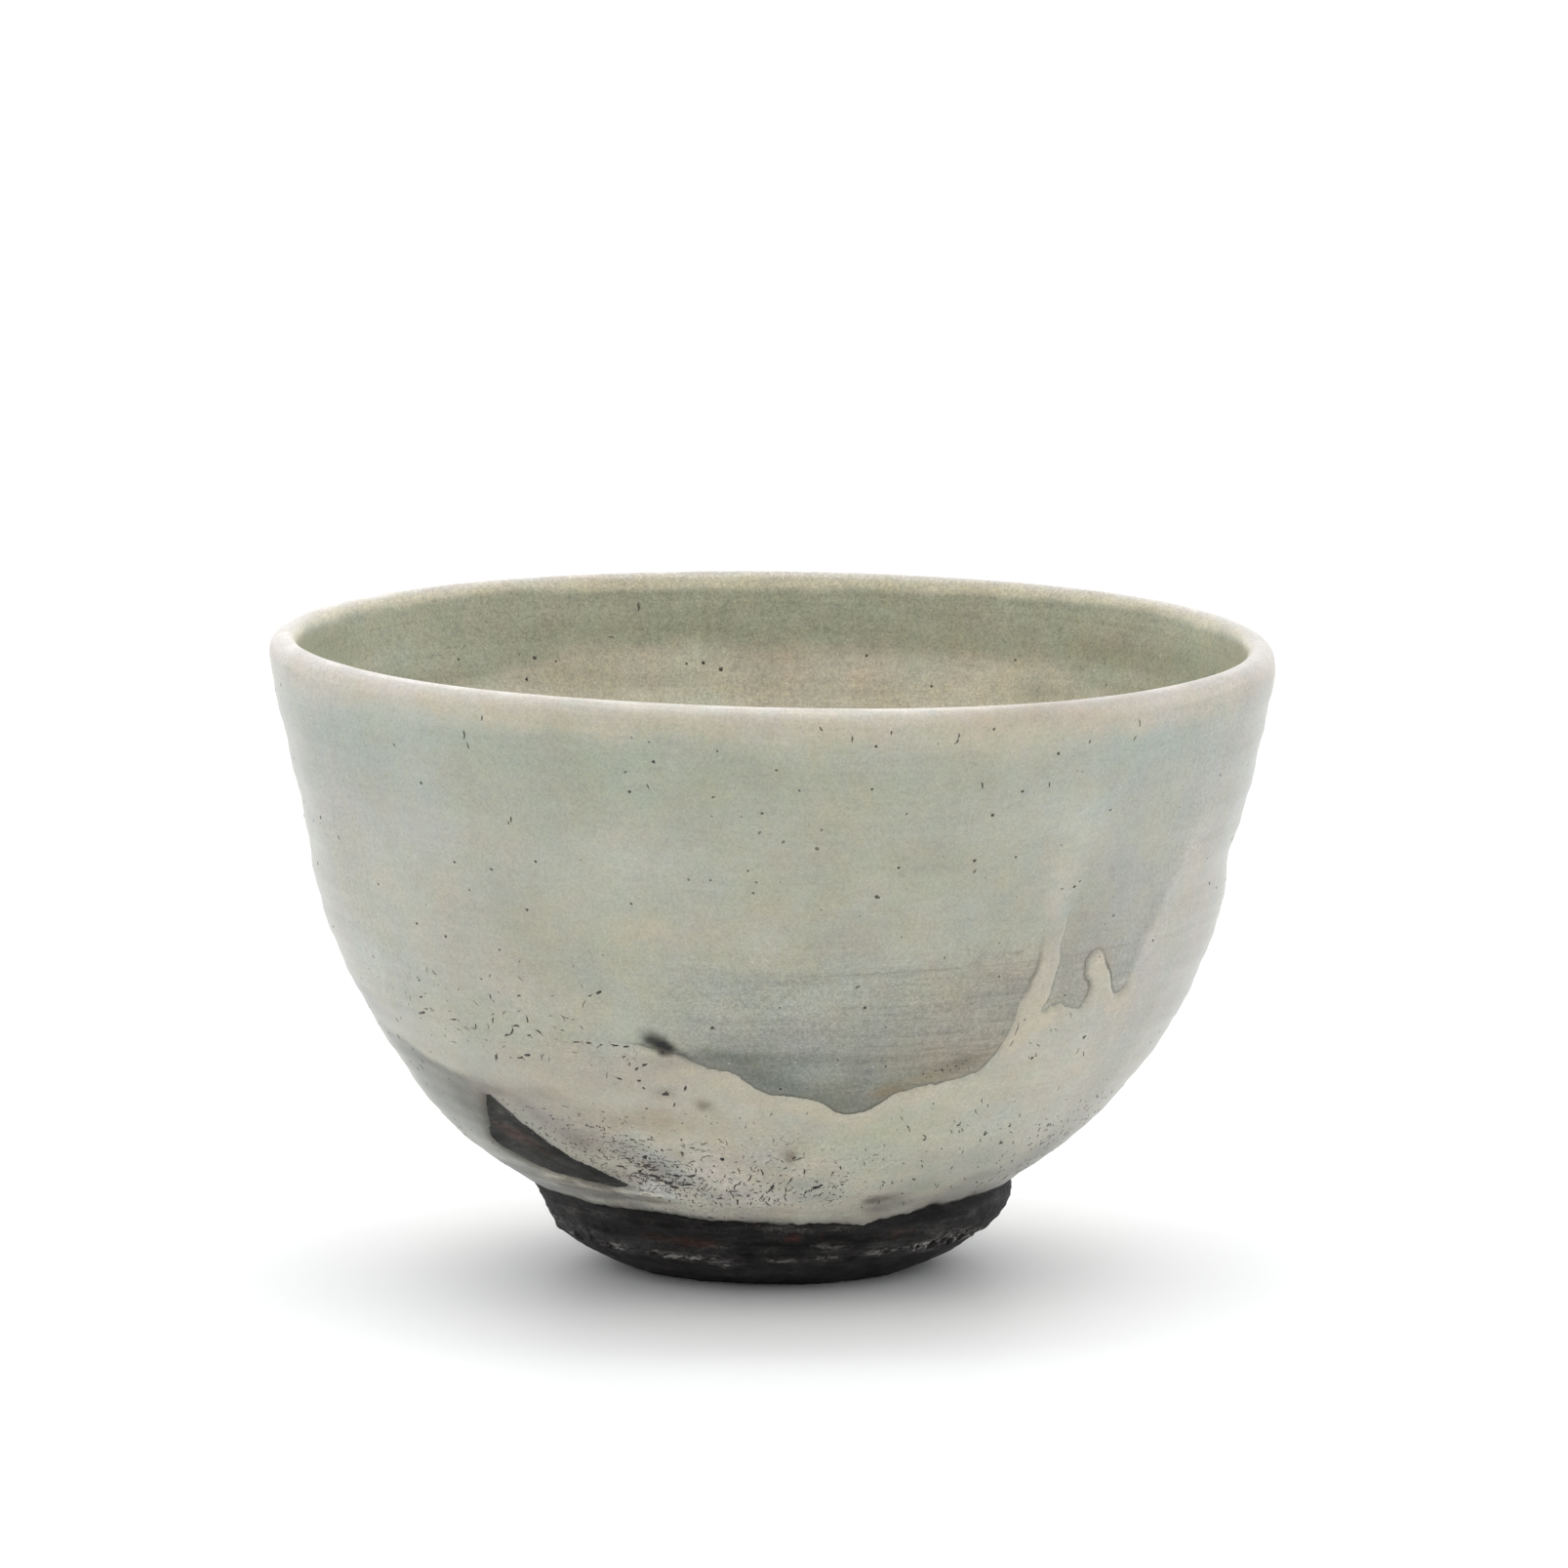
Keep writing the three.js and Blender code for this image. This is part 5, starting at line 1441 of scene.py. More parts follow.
# ------------------------------------------------------------------ foot ring
FOOT_OUT = [
    (17.0, 0.0), (17.9, 0.14), (19.3, 0.72), (21.0, 1.5), (22.7, 2.4), (24.2, 3.3), (25.35, 4.15),
    (26.2, 5.05), (26.85, 6.0), (27.45, 7.0), (27.95, 7.9), (28.3, 8.7), (28.5, 9.4), (28.8, 10.1), (29.5, 10.9),
]
foot_curve = Curve(FOOT_OUT, 0.05)
a = foot_curve.at(np.linspace(0, foot_curve.length, 84))
prof_r = np.concatenate([[12.0, 13.2, 14.5, 15.8, 16.5], a[0], [28.2, 20.0, 11.4, 11.25, 11.35, 11.5, 11.65, 11.8, 11.9]])
prof_z = np.concatenate([[0.0, 0.0, 0.0, 0.0, 0.0], a[1], [9.6, 9.3, 9.3, 9.0, 7.4, 5.6, 3.8, 2.0, 0.6]])
prof_n = np.concatenate([np.tile([0.0, -1.0], (5, 1)), a[2], np.tile([0.0, 1.0], (3, 1)), np.tile([-1.0, 0.0], (6, 1))])
prof_k = np.concatenate([np.zeros(5), np.ones(len(a[0])), np.zeros(3), np.full(6, 0.6)])  # how rough
D = columns([(-90, 90, 0.36), (90, 270, 0.6)], 2)
nr_, nc_ = len(prof_r), len(D)
deg = np.tile(D, nr_)
rr = np.repeat(prof_r, nc_)
zz = np.repeat(prof_z, nc_)
nn = np.repeat(prof_n, nc_, 0)
kk = np.repeat(prof_k, nc_)
P = flat_noise_points(deg, rr, zz)
A = np.radians(deg)
ringP = np.stack([26 * np.sin(A), -26 * np.cos(A), 0 * A], -1)
wob = fbm(ringP, 9.0, 3, 131)
ridge_z = 4.75 + 0.35 * wob
ridge = np.exp(-(((zz - ridge_z) / 0.42) ** 2))
hh = 0.05 * np.sin(2 * np.pi * (zz + 0.9 * deg / 360) / 0.9 + 1.5 * fbm(P, 8, 2, 132)) * smooth(5.2, 6.0, zz) * (1 - smooth(9.2, 9.8, zz))
hh += 0.13 * fbm(P, (6, 6, 2.2), 3, 133) + 0.07 * fbm(P, 1.4, 3, 134)
hh += ridge * (0.03 + 0.26 * np.maximum(fbm(ringP, 2.4, 3, 135), -0.1) + 0.22 * np.maximum(fbm(ringP, 0.9, 2, 136), 0))
# torn pits and chips along the ridge
pits = []
for at, wide, tall, zc, deep in [
    (67, 1.5, 0.7, 5.1, 0.75), (59, 1.7, 0.65, 4.9, 0.85), (54, 1.3, 0.55, 4.95, 0.6), (47.5, 1.9, 0.7, 4.7, 0.7), (50.8, 0.8, 0.5, 5.2, 0.4), (41.5, 1.0, 0.35, 4.8, 0.35),
    (-7.5, 6.5, 1.1, 4.6, 0.55), (-32, 2.2, 0.6, 4.5, 0.35), (-48, 2.6, 0.7, 4.6, 0.45), (-62, 2.0, 0.7, 4.8, 0.5),
    (-54, 1.4, 0.5, 5.3, 0.4), (31, 1.6, 0.4, 4.7, 0.3), (22, 3.0, 0.5, 4.4, 0.25), (80, 2.0, 0.8, 5.0, 0.5),
    (104, 2.4, 0.7, 4.8, 0.5), (131, 5.0, 0.9, 4.7, 0.5), (160, 1.8, 0.6, 4.9, 0.6), (171, 1.5, 0.6, 4.8, 0.5),
    (-165, 3.0, 0.8, 4.6, 0.4), (-140, 1.7, 0.6, 5.0, 0.6), (-118, 4.0, 0.8, 4.7, 0.4), (-95, 1.6, 0.6, 4.9, 0.5),
]:
    dx = turn(deg, at) / wide
    dz = (zz - zc) / tall
    e = np.sqrt(dx * dx + dz * dz) + 0.25 * fbm(P, 0.9, 2, 137)
    hh -= deep * (1 - smooth(0.35, 1.0, e))
    if 40 < at < 70:
        pits.append(e)
    hh += 0.12 * np.exp(-(((e - 1.15) / 0.22) ** 2)) * ridge
hh += 0.62 * bell(turn(deg, 84) / 48) * bell((zz - 7.2) / 3.4)
hh -= 0.15 * bell(turn(deg, 78) / 40) * bell((zz - 4.4) / 1.8)
hh -= 0.26 * bell(turn(deg, -84) / 60) * bell((zz - 8.4) / 3.2)
hh *= kk
pts = place(deg, rr + nn[:, 0] * hh, np.maximum(zz + nn[:, 1] * hh, 0.0)).reshape(nr_, nc_, 3)
fn = fbm(P, (9, 9, 1.1), 4, 141)
L = np.interp(zz, [0, 1.5, 3.0, 4.2, 5.0, 6.4, 8.0, 9.6], [22, 25, 31, 38, 36, 34, 33, 36])
G = L - 0.1
fcol = lin(np.stack([G + 1.0, G, G], -1))
for at, size, t, w in [
    ((4, 8.7), (11, 0.7), (52, 1, 2), 0.8), ((16, 8.6), (7, 0.6), (56, 1, 1), 0.8), ((31, 5.9), (10, 0.9), (50, 0, 1), 0.75),
    ((46, 6.6), (8, 1.0), (50, 1, 2), 0.6), ((-60, 8.4), (9, 1.1), (58, 2, 3), 0.7), ((-46, 7.0), (7, 0.9), (27, 0, 0), 0.8),
    ((-46, 8.9), (8, 0.6), (42, 0, 1), 0.6), ((42, 8.9), (11, 0.6), (24, 0, 1), 0.85), ((-22, 8.9), (14, 0.7), (22, 2, 0), 0.9),
    ((-60, 5.6), (5, 0.8), (29, 1, 0), 0.7), ((0, 5.9), (6, 1.0), (46, 0, 2), 0.6), ((-7, 4.7), (4, 1.2), (22, 0, 0), 0.85),
    ((-20, 6.7), (10, 1.1), (32, 13, 4), 0.95), ((-30, 7.0), (6, 0.9), (32, 11, 4), 0.8), ((5, 7.6), (2.6, 0.9), (37, 15, 4), 0.8),
    ((12, 7.4), (2.2, 0.9), (37, 14, 4), 0.75), ((33, 7.4), (5, 0.9), (40, 10, 3), 0.6), ((0, 6.2), (5, 1.2), (50, 0, 2), 0.7), ((16, 7.0), (4, 0.7), (29, 4, 2), 0.6),
    ((58, 7.0), (5, 0.8), (30, 3, 1), 0.6), ((57, 8.3), (6, 0.6), (62, 2, 0), 0.6), ((56, 5.3), (7, 0.7), (60, 4, 1), 0.5),
    ((95, 7.0), (9, 1.1), (46, 15, 4), 0.8), ((150, 7.2), (14, 1.0), (42, 16, 4), 0.8),
    ((-150, 7.0), (10, 1.1), (42, 16, 4), 0.8), ((-100, 7.3), (8, 1.0), (44, 13, 3), 0.7), ((120, 8.7), (14, 0.8), (26, 1, 0), 0.7),
    ((175, 8.6), (16, 0.8), (52, 1, 2), 0.6), ((-125, 8.6), (14, 0.8), (28, 1, 0), 0.7),
]:
    jit = fbm(P, 1.8, 3, 142)
    fcol = dab(fcol, deg + 1.5 * jit, zz + 0.35 * jit, at, size, t, w, 0.25)
fcol = fcol * np.clip(1 + 0.75 * fn + 0.35 * fbm(P, (2.4, 2.4, 0.9), 3, 145), 0.3, 2.2)[:, None]
fcol = np.clip((fcol - 0.0055) / outside_light(zz)[:, None], 0.0022, 0.9)
# painted shade inside the torn pits on the right of the ridge
for e in pits:
    fcol = fcol * (1 - 0.9 * (1 - smooth(0.55, 1.0, e)))[:, None]
band = np.exp(-(((zz - ridge_z + 0.1) / 0.40) ** 2))
broken = np.clip(0.35 + 1.5 * fbm(ringP, 5.0, 3, 143) + 0.8 * fbm(ringP, 1.5, 2, 146), 0, 1)
scuff = 1.25 * band * broken + 0.45 * np.exp(-(((zz - 6.2) / 0.5) ** 2)) * np.clip(fbm(ringP, 7, 2, 144), 0, 1)
for at, zc, wide, tall, k in [(-46, 4.6, 4.5, 0.65, 1.0), (-30, 4.5, 6, 0.32, 1.1), (-16, 4.1, 4, 0.4, 1.0), (-13, 3.6, 1.6, 0.5, 1.1), (30, 4.9, 5, 0.35, 1.0),
                              (44, 5.1, 6, 0.4, 1.0), (58, 5.4, 7, 0.5, 1.2), (2, 4.3, 4, 0.3, 0.7), (14, 4.6, 4, 0.3, 0.7)]:
    scuff = np.maximum(scuff, k * np.exp(-((turn(deg, at) / wide) ** 2) - ((zz - zc) / tall) ** 2))
scuff = scuff * (1 - 0.9 * np.exp(-((turn(deg, -7) / 4.0) ** 2)))
for e in pits:
    scuff = np.maximum(scuff * smooth(0.8, 1.05, e), 1.5 * np.exp(-(((e - 1.22) / 0.2) ** 2)) * smooth(0.2, 0.9, 1.3 * fbm(P, 1.1, 2, 147) + 0.5))
foot = revolved("foot_ring_clay", pts, fcol.reshape(nr_, nc_, 3), {"scuff": np.clip(scuff, 0, 1).reshape(nr_, nc_)}, loop=True)
dress(foot, foot_mat, "foot_ring")


# ------------------------------------------------------------------ iron specks and slip cracks
def surface(deg, z, lift):
    """Points on the visible outside, in metres, lifted by lift mm."""
    uu = wall_u_at(z)
    r, zz, n = skin.at(uu)
    P = flat_noise_points(deg, r, zz)
    F = fields(deg, zz)
    h = relief(deg, zz, P) * (1 - 0.75 * smooth(71.0, 75.0, zz)) + 0.05 * smooth(60, 70, zz)
    h = h + np.maximum(slip_level(deg, zz, P, F), 0.0) + lift
    return place(deg, r + n[:, 0] * h, zz + n[:, 1] * h)


def marks(name, spots, mat, seed, on=surface):
    """Each mark is a closed flat grain: (angle, z, length, width, tilt) with lengths in mm."""
    g = np.random.default_rng(seed)
    M = 10
    ring_d, ring_z, mid_d, mid_z = [], [], [], []
    for deg, z, length, width, tilt in spots:
        t = np.linspace(0, 2 * np.pi, M, endpoint=False)
        wobble = 1 + 0.28 * g.standard_normal(M).clip(-1.3, 1.3)
        x = 0.5 * length * np.cos(t) * wobble
        y = 0.5 * width * np.sin(t) * wobble
        bend = 0.18 * length * g.uniform(-1, 1) * (np.cos(t) ** 2 - 0.5)
        y = y + bend * min(1.0, length / 0.8) * (length > 2.6 * width)
        c, s = math.cos(tilt), math.sin(tilt)
        X, Y = x * c - y * s, x * s + y * c
        rr = float(wall_r_at(z))
        ring_d.append(deg + np.degrees(X / rr))
        ring_z.append(np.minimum(z + Y, 75.0))
        mid_d.append(deg)
        mid_z.append(z)
    n = len(spots)
    ring_top = on(np.concatenate(ring_d), np.concatenate(ring_z), 0.012)
    ring_bot = on(np.concatenate(ring_d), np.concatenate(ring_z), -0.10)
    mt = on(np.array(mid_d, float), np.array(mid_z, float), 0.035)
    mb = on(np.array(mid_d, float), np.array(mid_z, float), -0.12)
    verts = np.concatenate([ring_top, ring_bot, mt, mb])
    faces = []
    for i in range(n):
        b, bb = i * M, n * M + i * M
        T, B = 2 * n * M + i, 2 * n * M + n + i
        for k in range(M):
            k2 = (k + 1) % M
            faces.append([b + k, b + k2, T])
            faces.append([b + k2, b + k, bb + k, bb + k2])
            faces.append([bb + k2, bb + k, B])
    ob = finish_mesh(name, verts, faces)
    dress(ob, mat, None)
    return ob


round_specks = [
    (12.5, 52.9, 0.62), (24.5, 56.9, 0.50), (-44.5, 63.8, 0.40), (-16.2, 65.4, 0.40), (-13.2, 69.1, 0.42),
    (-6.0, 70.7, 0.30), (-1.2, 63.3, 0.35), (-41.0, 54.8, 0.35), (-35.5, 54.5, 0.38), (-29.0, 56.0, 0.36),
    (25.2, 73.3, 0.35), (33.8, 69.8, 0.40), (11.5, 71.6, 0.38), (0.5, 68.6, 0.32), (11.2, 66.4, 0.34),
    (26.0, 62.6, 0.40), (29.5, 65.4, 0.38), (43.0, 61.7, 0.36), (30.0, 56.9, 0.34), (15.0, 56.4, 0.36),
    (-2.2, 53.5, 0.34), (-2.8, 56.2, 0.30), (39.2, 52.4, 0.40), (-49.5, 46.5, 0.40), (-44.5, 45.5, 0.34),
    (-31.0, 50.0, 0.36), (-56.5, 50.3, 0.34), (-7.3, 54.9, 0.28), (-17.0, 51.7, 0.32), (-36.0, 44.7, 0.36),
    (47.0, 32.8, 0.52), (38.2, 31.1, 0.44), (41.8, 19.7, 0.50), (25.2, 21.4, 0.36), (30.2, 23.0, 0.40),
    (36.5, 21.4, 0.44), (41.0, 22.0, 0.40), (11.6, 39.2, 0.36), (-8.0, 36.7, 0.50), (8.5, 32.6, 0.30),
    (15.3, 31.5, 0.34), (-15.5, 28.2, 0.55), (0.8, 28.9, 0.30), (56.0, 43.6, 0.40), (3.0, 66.2, 0.30),
]
g = np.random.default_rng(19)
g2 = np.random.default_rng(29)
specks = [(a, b, s, s * 0.85, 0.0) for a, b, s in round_specks]
for k_ in range(13):  # fine iron along the lower right of the bay
    a = 21.2 + 0.56 * k_ + g2.uniform(-0.2, 0.2)
    size = g2.uniform(0.13, 0.24)
    specks.append((a, 29.2 + 0.13 * (a - 20) + g2.uniform(0.35, 1.5), size, size, 0.0))
# short slanting flecks under the lip
for a, b in [(-31.5, 60.9), (-31.9, 60.4), (-33.8, 72.8), (-36.6, 70.4), (-36.2, 69.2), (21.0, 72.7), (20.8, 72.0), (13.2, 73.2),
             (8.8, 72.5), (45.5, 72.4), (45.0, 70.6), (24.3, 66.4), (5.4, 73.6), (-14.0, 66.1), (33.0, 66.0), (38.0, 70.9)]:
    specks.append((a, b, g.uniform(0.5, 0.95), g.uniform(0.14, 0.22), g.uniform(1.0, 2.2)))
faint = []
for _ in range(170):  # loose small iron all round
    a, b = g.uniform(-180, 180), g.uniform(36, 73)
    size = 0.14 + 0.20 * g.random() ** 2
    faint.append((a, b, size * g.uniform(1, 1.8), size, g.uniform(0, 3.14)))
for _ in range(46):  # larger ones on the sides and back
    a, b = g.uniform(70, 290), g.uniform(30, 73)
    size = g.uniform(0.3, 0.5)
    specks.append((a, b, size, size * 0.85, g.uniform(0, 3.14)))
speck_mat = mark_material("iron_look", (84, 2, 10), (60, 8, 6))
marks("iron_specks", specks, speck_mat, 3)
faint_mat = mark_material("iron_faint_look", (118, 1, 12), (100, 4, 10))
marks("iron_specks_faint", faint, faint_mat, 4)

dashes = [
    (-21.5, 19.1, 1.3, 0.42, 0.3), (-21.2, 16.4, 1.5, 0.40, 0.1), (-18.2, 15.1, 1.6, 0.50, 0.0), (-8.0, 19.3, 0.7, 0.50, 0.2),
    (0.8, 15.4, 0.9, 0.32, 1.5), (9.2, 15.2, 1.5, 0.50, 0.25), (9.9, 15.4, 0.8, 0.32, 0.5), (4.0, 19.6, 0.5, 0.35, 1.0),
    (-52.5, 39.2, 0.7, 0.26, 0.4), (-53.8, 36.9, 0.8, 0.24, 0.2), (-55.2, 34.8, 1.6, 0.26, 0.25), (-53.6, 35.5, 0.9, 0.22, 0.2),
    (-48.2, 34.8, 1.4, 0.24, 0.1), (-44.0, 34.4, 0.8, 0.22, 1.3), (-40.3, 35.6, 0.8, 0.24, 1.0), (-39.4, 38.6, 0.7, 0.20, 1.4),
    (-36.6, 35.2, 1.3, 0.26, 0.1), (-37.6, 34.4, 1.0, 0.24, 0.9), (-38.6, 33.9, 0.9, 0.22, 0.3), (-34.4, 36.2, 1.0, 0.20, 1.5),
    (-33.0, 34.8, 1.1, 0.20, 2.5), (-34.5, 39.2, 0.5, 0.22, 0.3), (-34.8, 34.2, 0.6, 0.18, 0.1), (-37.9, 31.1, 1.0, 0.26, 0.3),
    (-36.4, 31.5, 0.9, 0.30, 0.1), (-42.6, 30.6, 1.2, 0.30, 0.9), (-27.4, 34.0, 1.0, 0.20, 0.1), (-25.6, 34.0, 0.8, 0.22, 0.0),
    (-23.8, 33.9, 0.4, 0.18, 0.3), (-21.8, 34.0, 1.0, 0.22, 0.0), (-20.2, 33.9, 0.7, 0.22, 0.2), (-22.4, 29.6, 0.9, 0.24, 2.9),
    (-20.3, 31.6, 0.5, 0.20, 1.0), (-19.4, 31.0, 0.7, 0.24, 0.7), (-18.0, 31.7, 0.8, 0.26, 0.5), (-20.8, 32.6, 0.5, 0.2, 0.5),
    (-19.4, 29.5, 0.5, 0.26, 0.2), (-18.8, 28.7, 0.5, 0.24, 2.6), (-15.9, 28.1, 0.7, 0.40, 0.1), (-14.6, 26.7, 0.5, 0.26, 1.1),
    (-12.7, 28.9, 0.6, 0.28, 1.1), (-22.5, 40.6, 0.8, 0.32, 0.5), (-23.8, 40.1, 0.6, 0.18, 0.2), (-19.0, 26.0, 0.3, 0.2, 0),
    (48.8, 30.4, 0.9, 0.24, 2.1), (37.6, 31.2, 0.5, 0.24, 2.2), (38.7, 31.4, 0.8, 0.30, 1.9), (40.4, 34.6, 0.6, 0.2, 2.3),
    (25.0, 21.8, 1.3, 0.24, 2.5), (30.3, 23.3, 0.8, 0.22, 2.1), (36.6, 21.6, 1.2, 0.30, 2.6), (40.8, 22.2, 1.0, 0.24, 2.2),
    (42.3, 19.6, 0.9, 0.26, 2.7), (34.5, 19.0, 1.0, 0.24, 2.0), (34.8, 16.8, 0.8, 0.28, 1.9), (28.0, 17.4, 0.9, 0.22, 2.3),
    (28.2, 15.6, 1.0, 0.34, 2.6), (15.5, 20.6, 0.9, 0.2, 2.0), (55.5, 18.1, 1.5, 0.5, 0.1), (51.0, 18.4, 0.9, 0.26, 2.7),
    (33.6, 35.0, 1.2, 0.20, 1.35), (33.4, 33.6, 1.0, 0.20, 1.15),
]
hairs = []
aside = [d for d in dashes if 14 < d[0] < 60]
dashes = [d for d in dashes if not 14 < d[0] < 60]
hairs += [(a, b, 0.75 * l, 0.62 * w, t) for a, b, l, w, t in aside]


def patchy(a, b, seed):
    """True where scattered marks gather."""
    P = flat3(np.array([a]), np.array([b]))
    return float(fbm(P, (3.0, 3.0, 1.3), 2, seed)[0]) > g.uniform(-0.35, 0.35)


for _ in range(135):  # the dense field over the foot, front left
    a, b = g.normal(-21.5, 5.4), g.normal(16.8, 1.8)
    tilt = g.normal(0.10, 0.35) if g.random() < 0.65 else g.uniform(0, 3.14)
    if patchy(a, b, 301):
        dashes.append((a, b, 0.14 + 0.55 * g.random() ** 2.4, g.uniform(0.11, 0.22), tilt))
for _ in range(90):
    a, b = g.normal(-24, 8.0), g.normal(17.6, 2.6)
    size = g.uniform(0.10, 0.20)
    dashes.append((a, b, size * 1.2, size, 0.0))
for a, b in [(-20.3, 15.9), (-18.9, 15.5), (-23.4, 16.6), (-25.0, 18.6), (-16.5, 16.8), (-27.2, 17.4), (-21.8, 17.8)]:
    dashes.append((a, b, g.uniform(0.8, 1.3), g.uniform(0.26, 0.38), g.normal(0.1, 0.15)))
for _ in range(15):  # longer ones lying level in the densest part
    a, b = g2.normal(-18.8, 3.4), g2.normal(15.9, 0.9)
    dashes.append((a, b, g2.uniform(0.7, 1.6), g2.uniform(0.13, 0.22), g2.normal(0.08, 0.12)))
for _ in range(75):
    a, b = g2.normal(-20.0, 6.5), g2.normal(17.3, 2.0)
    size = g2.uniform(0.12, 0.24)
    dashes.append((a, b, size * 1.25, size, g2.uniform(0, 3.14)))
for _ in range(24):  # upright and branching ones towards the middle
    a, b = g2.uniform(-14, 14), g2.uniform(12.6, 18.2)
    dashes.append((a, b, g2.uniform(0.5, 1.15), g2.uniform(0.13, 0.20), g2.normal(1.3, 0.6)))
for _ in range(330):
    a, b = g.normal(-23.0, 7.5), g.normal(17.1, 2.4)
    if patchy(a, b, 302):
        hairs.append((a, b, 0.18 + 0.9 * g.random() ** 2.2, g.uniform(0.08, 0.17), g.normal(0.05, 0.30)))
for _ in range(95):
    a, b = g.uniform(-20, 15), 12.2 + 6.0 * g.beta(1.6, 1.8)
    tilt = g.normal(0.15, 0.4) if g.random() < 0.5 else g.normal(1.5, 0.4)
    dashes.append((a, b, 0.2 + 0.5 * g.random() ** 2.0, g.uniform(0.10, 0.17), tilt))
for _ in range(170):
    a, b = g.uniform(-22, 17), 12.0 + 6.6 * g.beta(1.6, 1.8)
    tilt = g.normal(0.12, 0.4) if g.random() < 0.5 else g.normal(1.5, 0.5)
    if patchy(a, b, 303):
        hairs.append((a, b, 0.16 + 0.6 * g.random() ** 2.0, g.uniform(0.08, 0.15), tilt))
for _ in range(90):
    a, b = g.uniform(-46, -22), g.uniform(19.0, 25.0)
    hairs.append((a, b, 0.15 + 0.4 * g.random(), g.uniform(0.10, 0.16), g.normal(0.1, 0.5)))
for _ in range(22):
    a, b = g.uniform(-44, -26), g.uniform(19.5, 24.0)
    dashes.append((a, b, 0.15 + 0.3 * g.random(), g.uniform(0.10, 0.18), g.normal(0.1, 0.6)))
for _ in range(26):
    a, b = g.uniform(-18, 6), g.uniform(18, 26)
    hairs.append((a, b, 0.2 + 0.5 * g.random(), g.uniform(0.10, 0.16), g.uniform(0, 3.14)))
for _ in range(90):
    a, b = g.uniform(18, 66), g.uniform(11.5, 27)
    hairs.append((a, b, 0.2 + 0.8 * g.random() ** 2.0, g.uniform(0.09, 0.15), g.normal(2.4, 0.3)))
for _ in range(80):  # slanting strokes gather towards the right edge
    a, b = 44 + 26 * g2.beta(1.6, 1.4), g2.uniform(12.6, 24)
    hairs.append((a, b, 0.3 + 0.6 * g2.random() ** 1.6, g2.uniform(0.12, 0.20), g2.normal(2.4, 0.3)))
for _ in range(9):
    a, b = g2.uniform(16, 44), g2.uniform(13.5, 25)
    hairs.append((a, b, g2.uniform(0.5, 0.9), g2.uniform(0.12, 0.18), g2.normal(2.2, 0.35)))
for a, b in [(33.8, 35.6), (36.8, 33.2), (38.4, 32.7), (39.6, 34.6), (42.4, 36.2), (47.1, 31.0)]:
    hairs.append((a, b, g2.uniform(0.5, 0.8), g2.uniform(0.10, 0.15), g2.normal(2.1, 0.4)))
for _ in range(60):
    a, b = g.uniform(-60, -20), g.normal(35.0, 3.2)
    hairs.append((a, b, 0.3 + 0.8 * g.random() ** 1.8, g.uniform(0.09, 0.14), g.normal(0.3, 0.8)))
for _ in range(260):
    a, b = g.normal(180, 34), 12.0 + 10.0 * g.beta(2.0, 2.4)
    dashes.append((a, b, 0.22 + 0.85 * g.random() ** 2.2, g.uniform(0.11, 0.24), g.normal(0.1, 0.6)))
for _ in range(90):
    a, b = g.uniform(-130, -58), g.uniform(12, 33)
    dashes.append((a, b, 0.22 + 0.6 * g.random() ** 2, g.uniform(0.1, 0.2), g.uniform(0, 3.14)))
for _ in range(60):
    a, b = g.uniform(70, 130), g.uniform(12, 32)
    dashes.append((a, b, 0.22 + 0.6 * g.random() ** 2, g.uniform(0.1, 0.2), g.uniform(0, 3.14)))
dashes = [d for d in dashes if d[1] > float(wrap_line(hem_edge.line, np.array([d[0]]))[0]) + 0.9]
hairs = [d for d in hairs if d[1] > float(wrap_line(hem_edge.line, np.array([d[0]]))[0]) + 0.9]
clots = [d for d in dashes if d[3] >= 0.38 and d[2] < 1.8] + [
    (-21.6, 19.0, 0.6, 0.5, 0.2), (-23.6, 16.9, 0.7, 0.38, 0.1), (-20.6, 16.2, 0.9, 0.42, 0.15), (-17.6, 15.0, 0.8, 0.42, 0.1), (-19.4, 15.6, 0.5, 0.34, 0.3)]
dashes = [d for d in dashes if not (d[3] >= 0.38 and d[2] < 1.8)]
clots = [(a, b, 0.68 * l, 0.9 * w, t) for a, b, l, w, t in clots]
hole = inside(window_edge.line, np.array([d[0] for d in dashes + hairs]), np.array([d[1] for d in dashes + hairs]))
dashes, hairs = (
    [d for d, h in zip(dashes, hole[: len(dashes)]) if not h],
    [d for d, h in zip(hairs, hole[len(dashes):]) if not h],
)
dash_mat = mark_material("slip_crack_look", (56, 2, 2), (74, 11, 5))
marks("slip_cracks", dashes, dash_mat, 5)
clot_mat = mark_material("slip_clot_look", (38, 3, 3), (50, 8, 5))
marks("slip_clots", clots, clot_mat, 11)
hair_mat = mark_material("slip_hair_look", (112, 2, 6), (98, 8, 7))
marks("slip_hairs", hairs, hair_mat, 6)

pale_look = mark_material("pale_look", (158, 1, 11), (176, 1, 11))
marks("pale_flecks", [(-6.2, 32.2, 0.34, 0.20, 0.1), (2.8, 32.4, 0.40, 0.24, 0.0), (8.4, 31.9, 0.30, 0.18, 0.3), (13.6, 31.5, 0.44, 0.22, 0.0),
                      (21.0, 34.6, 0.5, 0.22, 0.1), (17.8, 39.8, 0.5, 0.2, 0.0)], pale_look, 9)

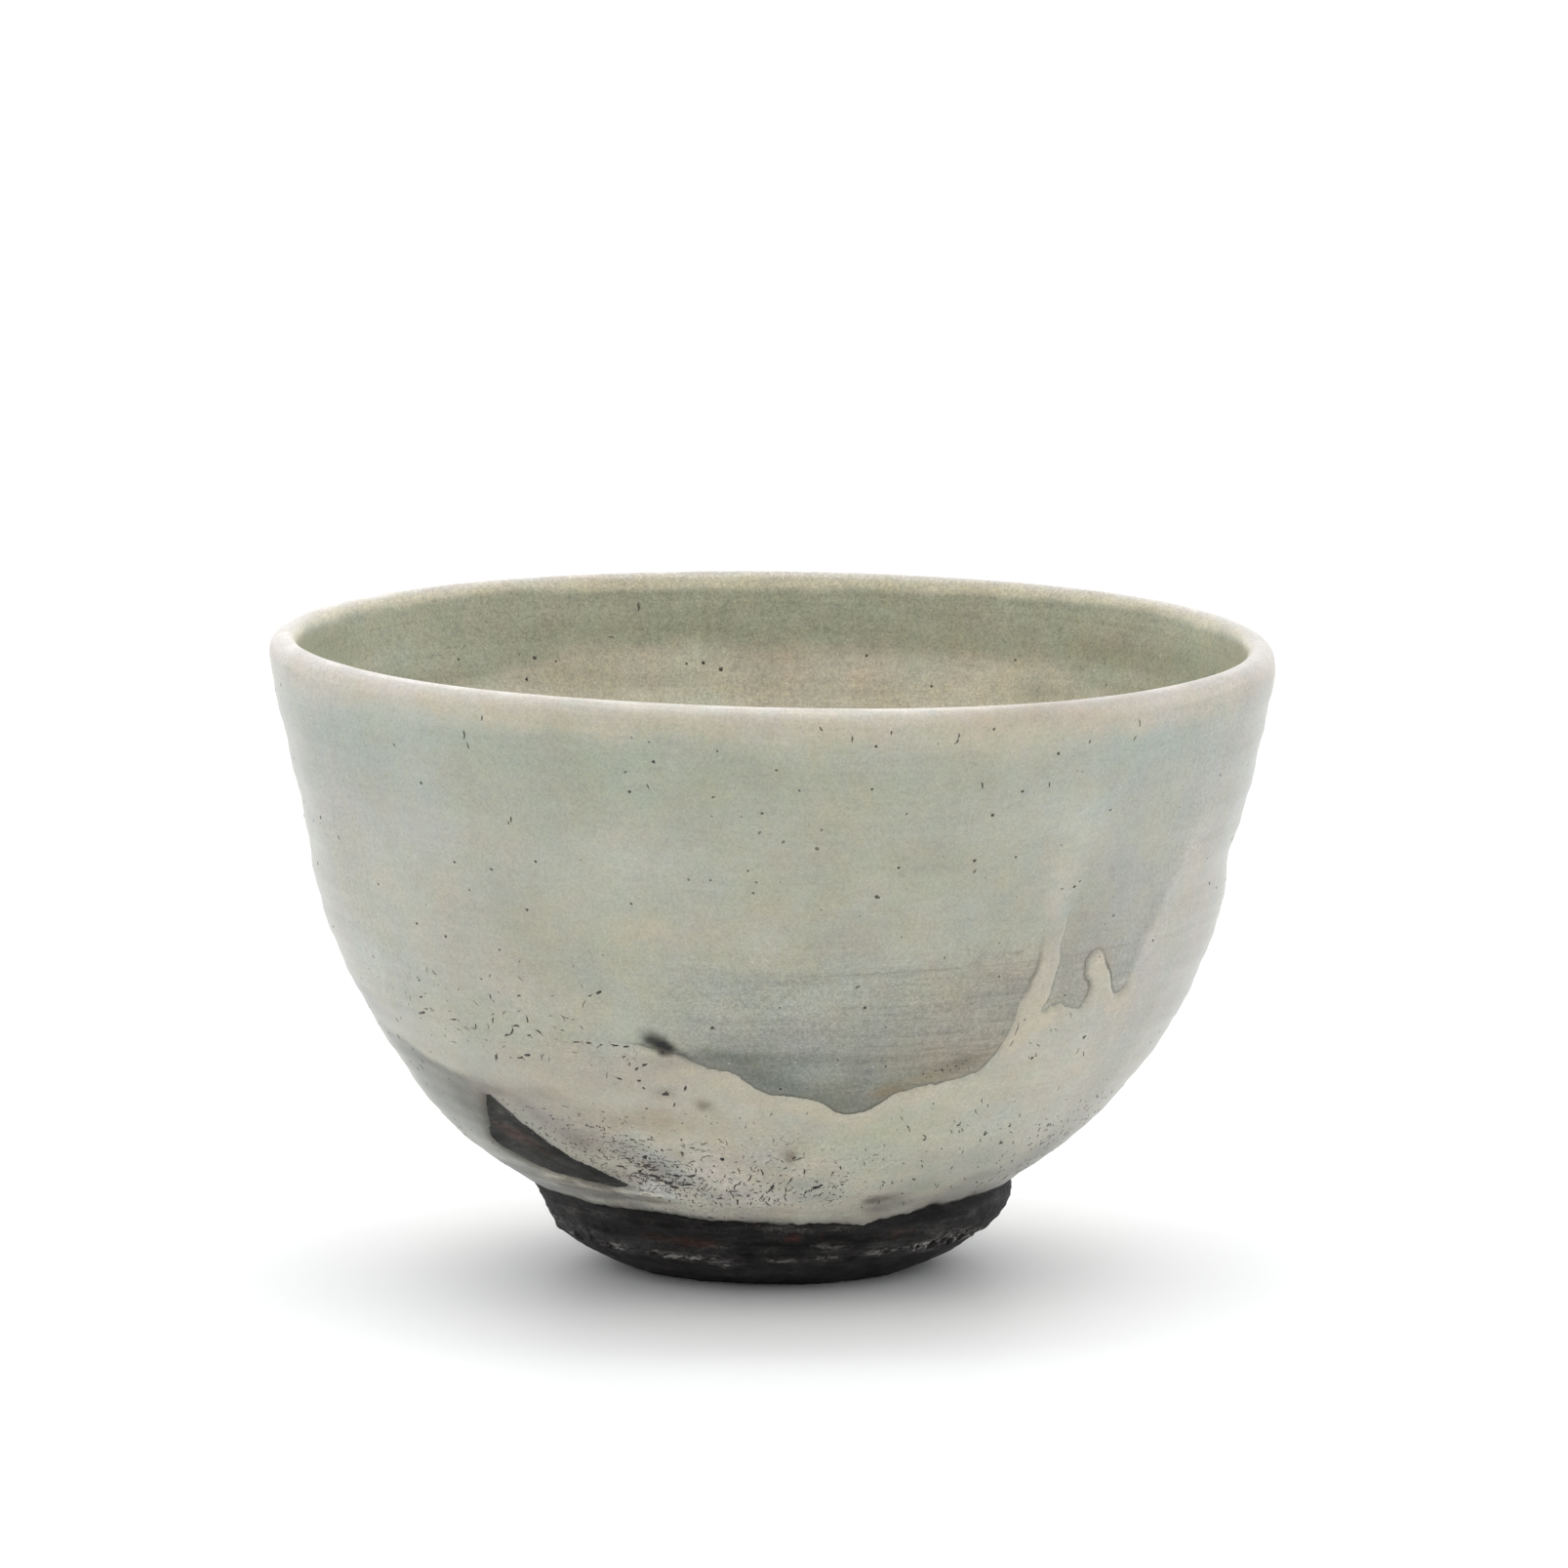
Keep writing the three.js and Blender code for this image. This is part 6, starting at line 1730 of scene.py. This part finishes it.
# a few dark specks on the inside wall
inner_z = skin.p[~wall_mask, 1]
inner_u = skin.u[~wall_mask]


def surface_in(deg, z, lift):
    uu = np.interp(-z, -inner_z, inner_u)
    r, zz, n = skin.at(uu)
    P = flat_noise_points(deg, r, zz)
    h = inner_relief(deg, uu, r, P) + lift
    return place(deg, r + n[:, 0] * h, zz + n[:, 1] * h)


in_specks = [
    (224.0, 67.0, 0.42), (212.0, 66.2, 0.52), (209.0, 65.6, 0.34), (213.5, 63.7, 0.48), (191.2, 64.6, 0.38),
    (189.0, 64.7, 0.44), (186.8, 63.9, 0.56), (168.0, 65.8, 0.36), (159.0, 62.4, 0.40), (147.5, 66.4, 0.34),
    (176.0, 58.0, 0.40), (201.0, 57.0, 0.36), (215.0, 52.0, 0.42), (20.0, 55.0, 0.44), (-30.0, 47.0, 0.40),
    (62.0, 60.0, 0.36), (-75.0, 58.0, 0.42), (105.0, 50.0, 0.40), (-120.0, 62.0, 0.36), (40.0, 38.0, 0.40),
]
in_specks = [(a, b, s_, s_ * 0.85, 0.0) for a, b, s_ in in_specks]
for _ in range(70):
    size = 0.12 + 0.2 * g.random() ** 2
    in_specks.append((g.uniform(-180, 180), g.uniform(24, 70), size * g.uniform(1, 1.5), size, g.uniform(0, 3.14)))
marks("inner_specks", in_specks, speck_mat, 8, surface_in)
marks("inner_streak", [(197.0, 72.0, 1.1, 0.34, 1.57), (197.1, 71.4, 0.5, 0.22, 1.4), (201.0, 68.2, 0.7, 0.2, 0.2)], faint_mat, 10, surface_in)

# ------------------------------------------------------------------ floor
bpy.ops.mesh.primitive_plane_add(size=12, location=(0, 0, 0))
floor = bpy.context.object
floor.name = "floor"
fm = Mat("floor_look")
fm.b.inputs["Roughness"].default_value = 0.5
fm.b.inputs["Specular IOR Level"].default_value = 0.35
pale = fm.noise(0.02, 3.0, 0.5)
fm.link(fm.mix(pale, (0.915, 0.922, 0.938), (0.925, 0.932, 0.948)), fm.b.inputs["Base Color"])
floor.data.materials.append(fm.m)
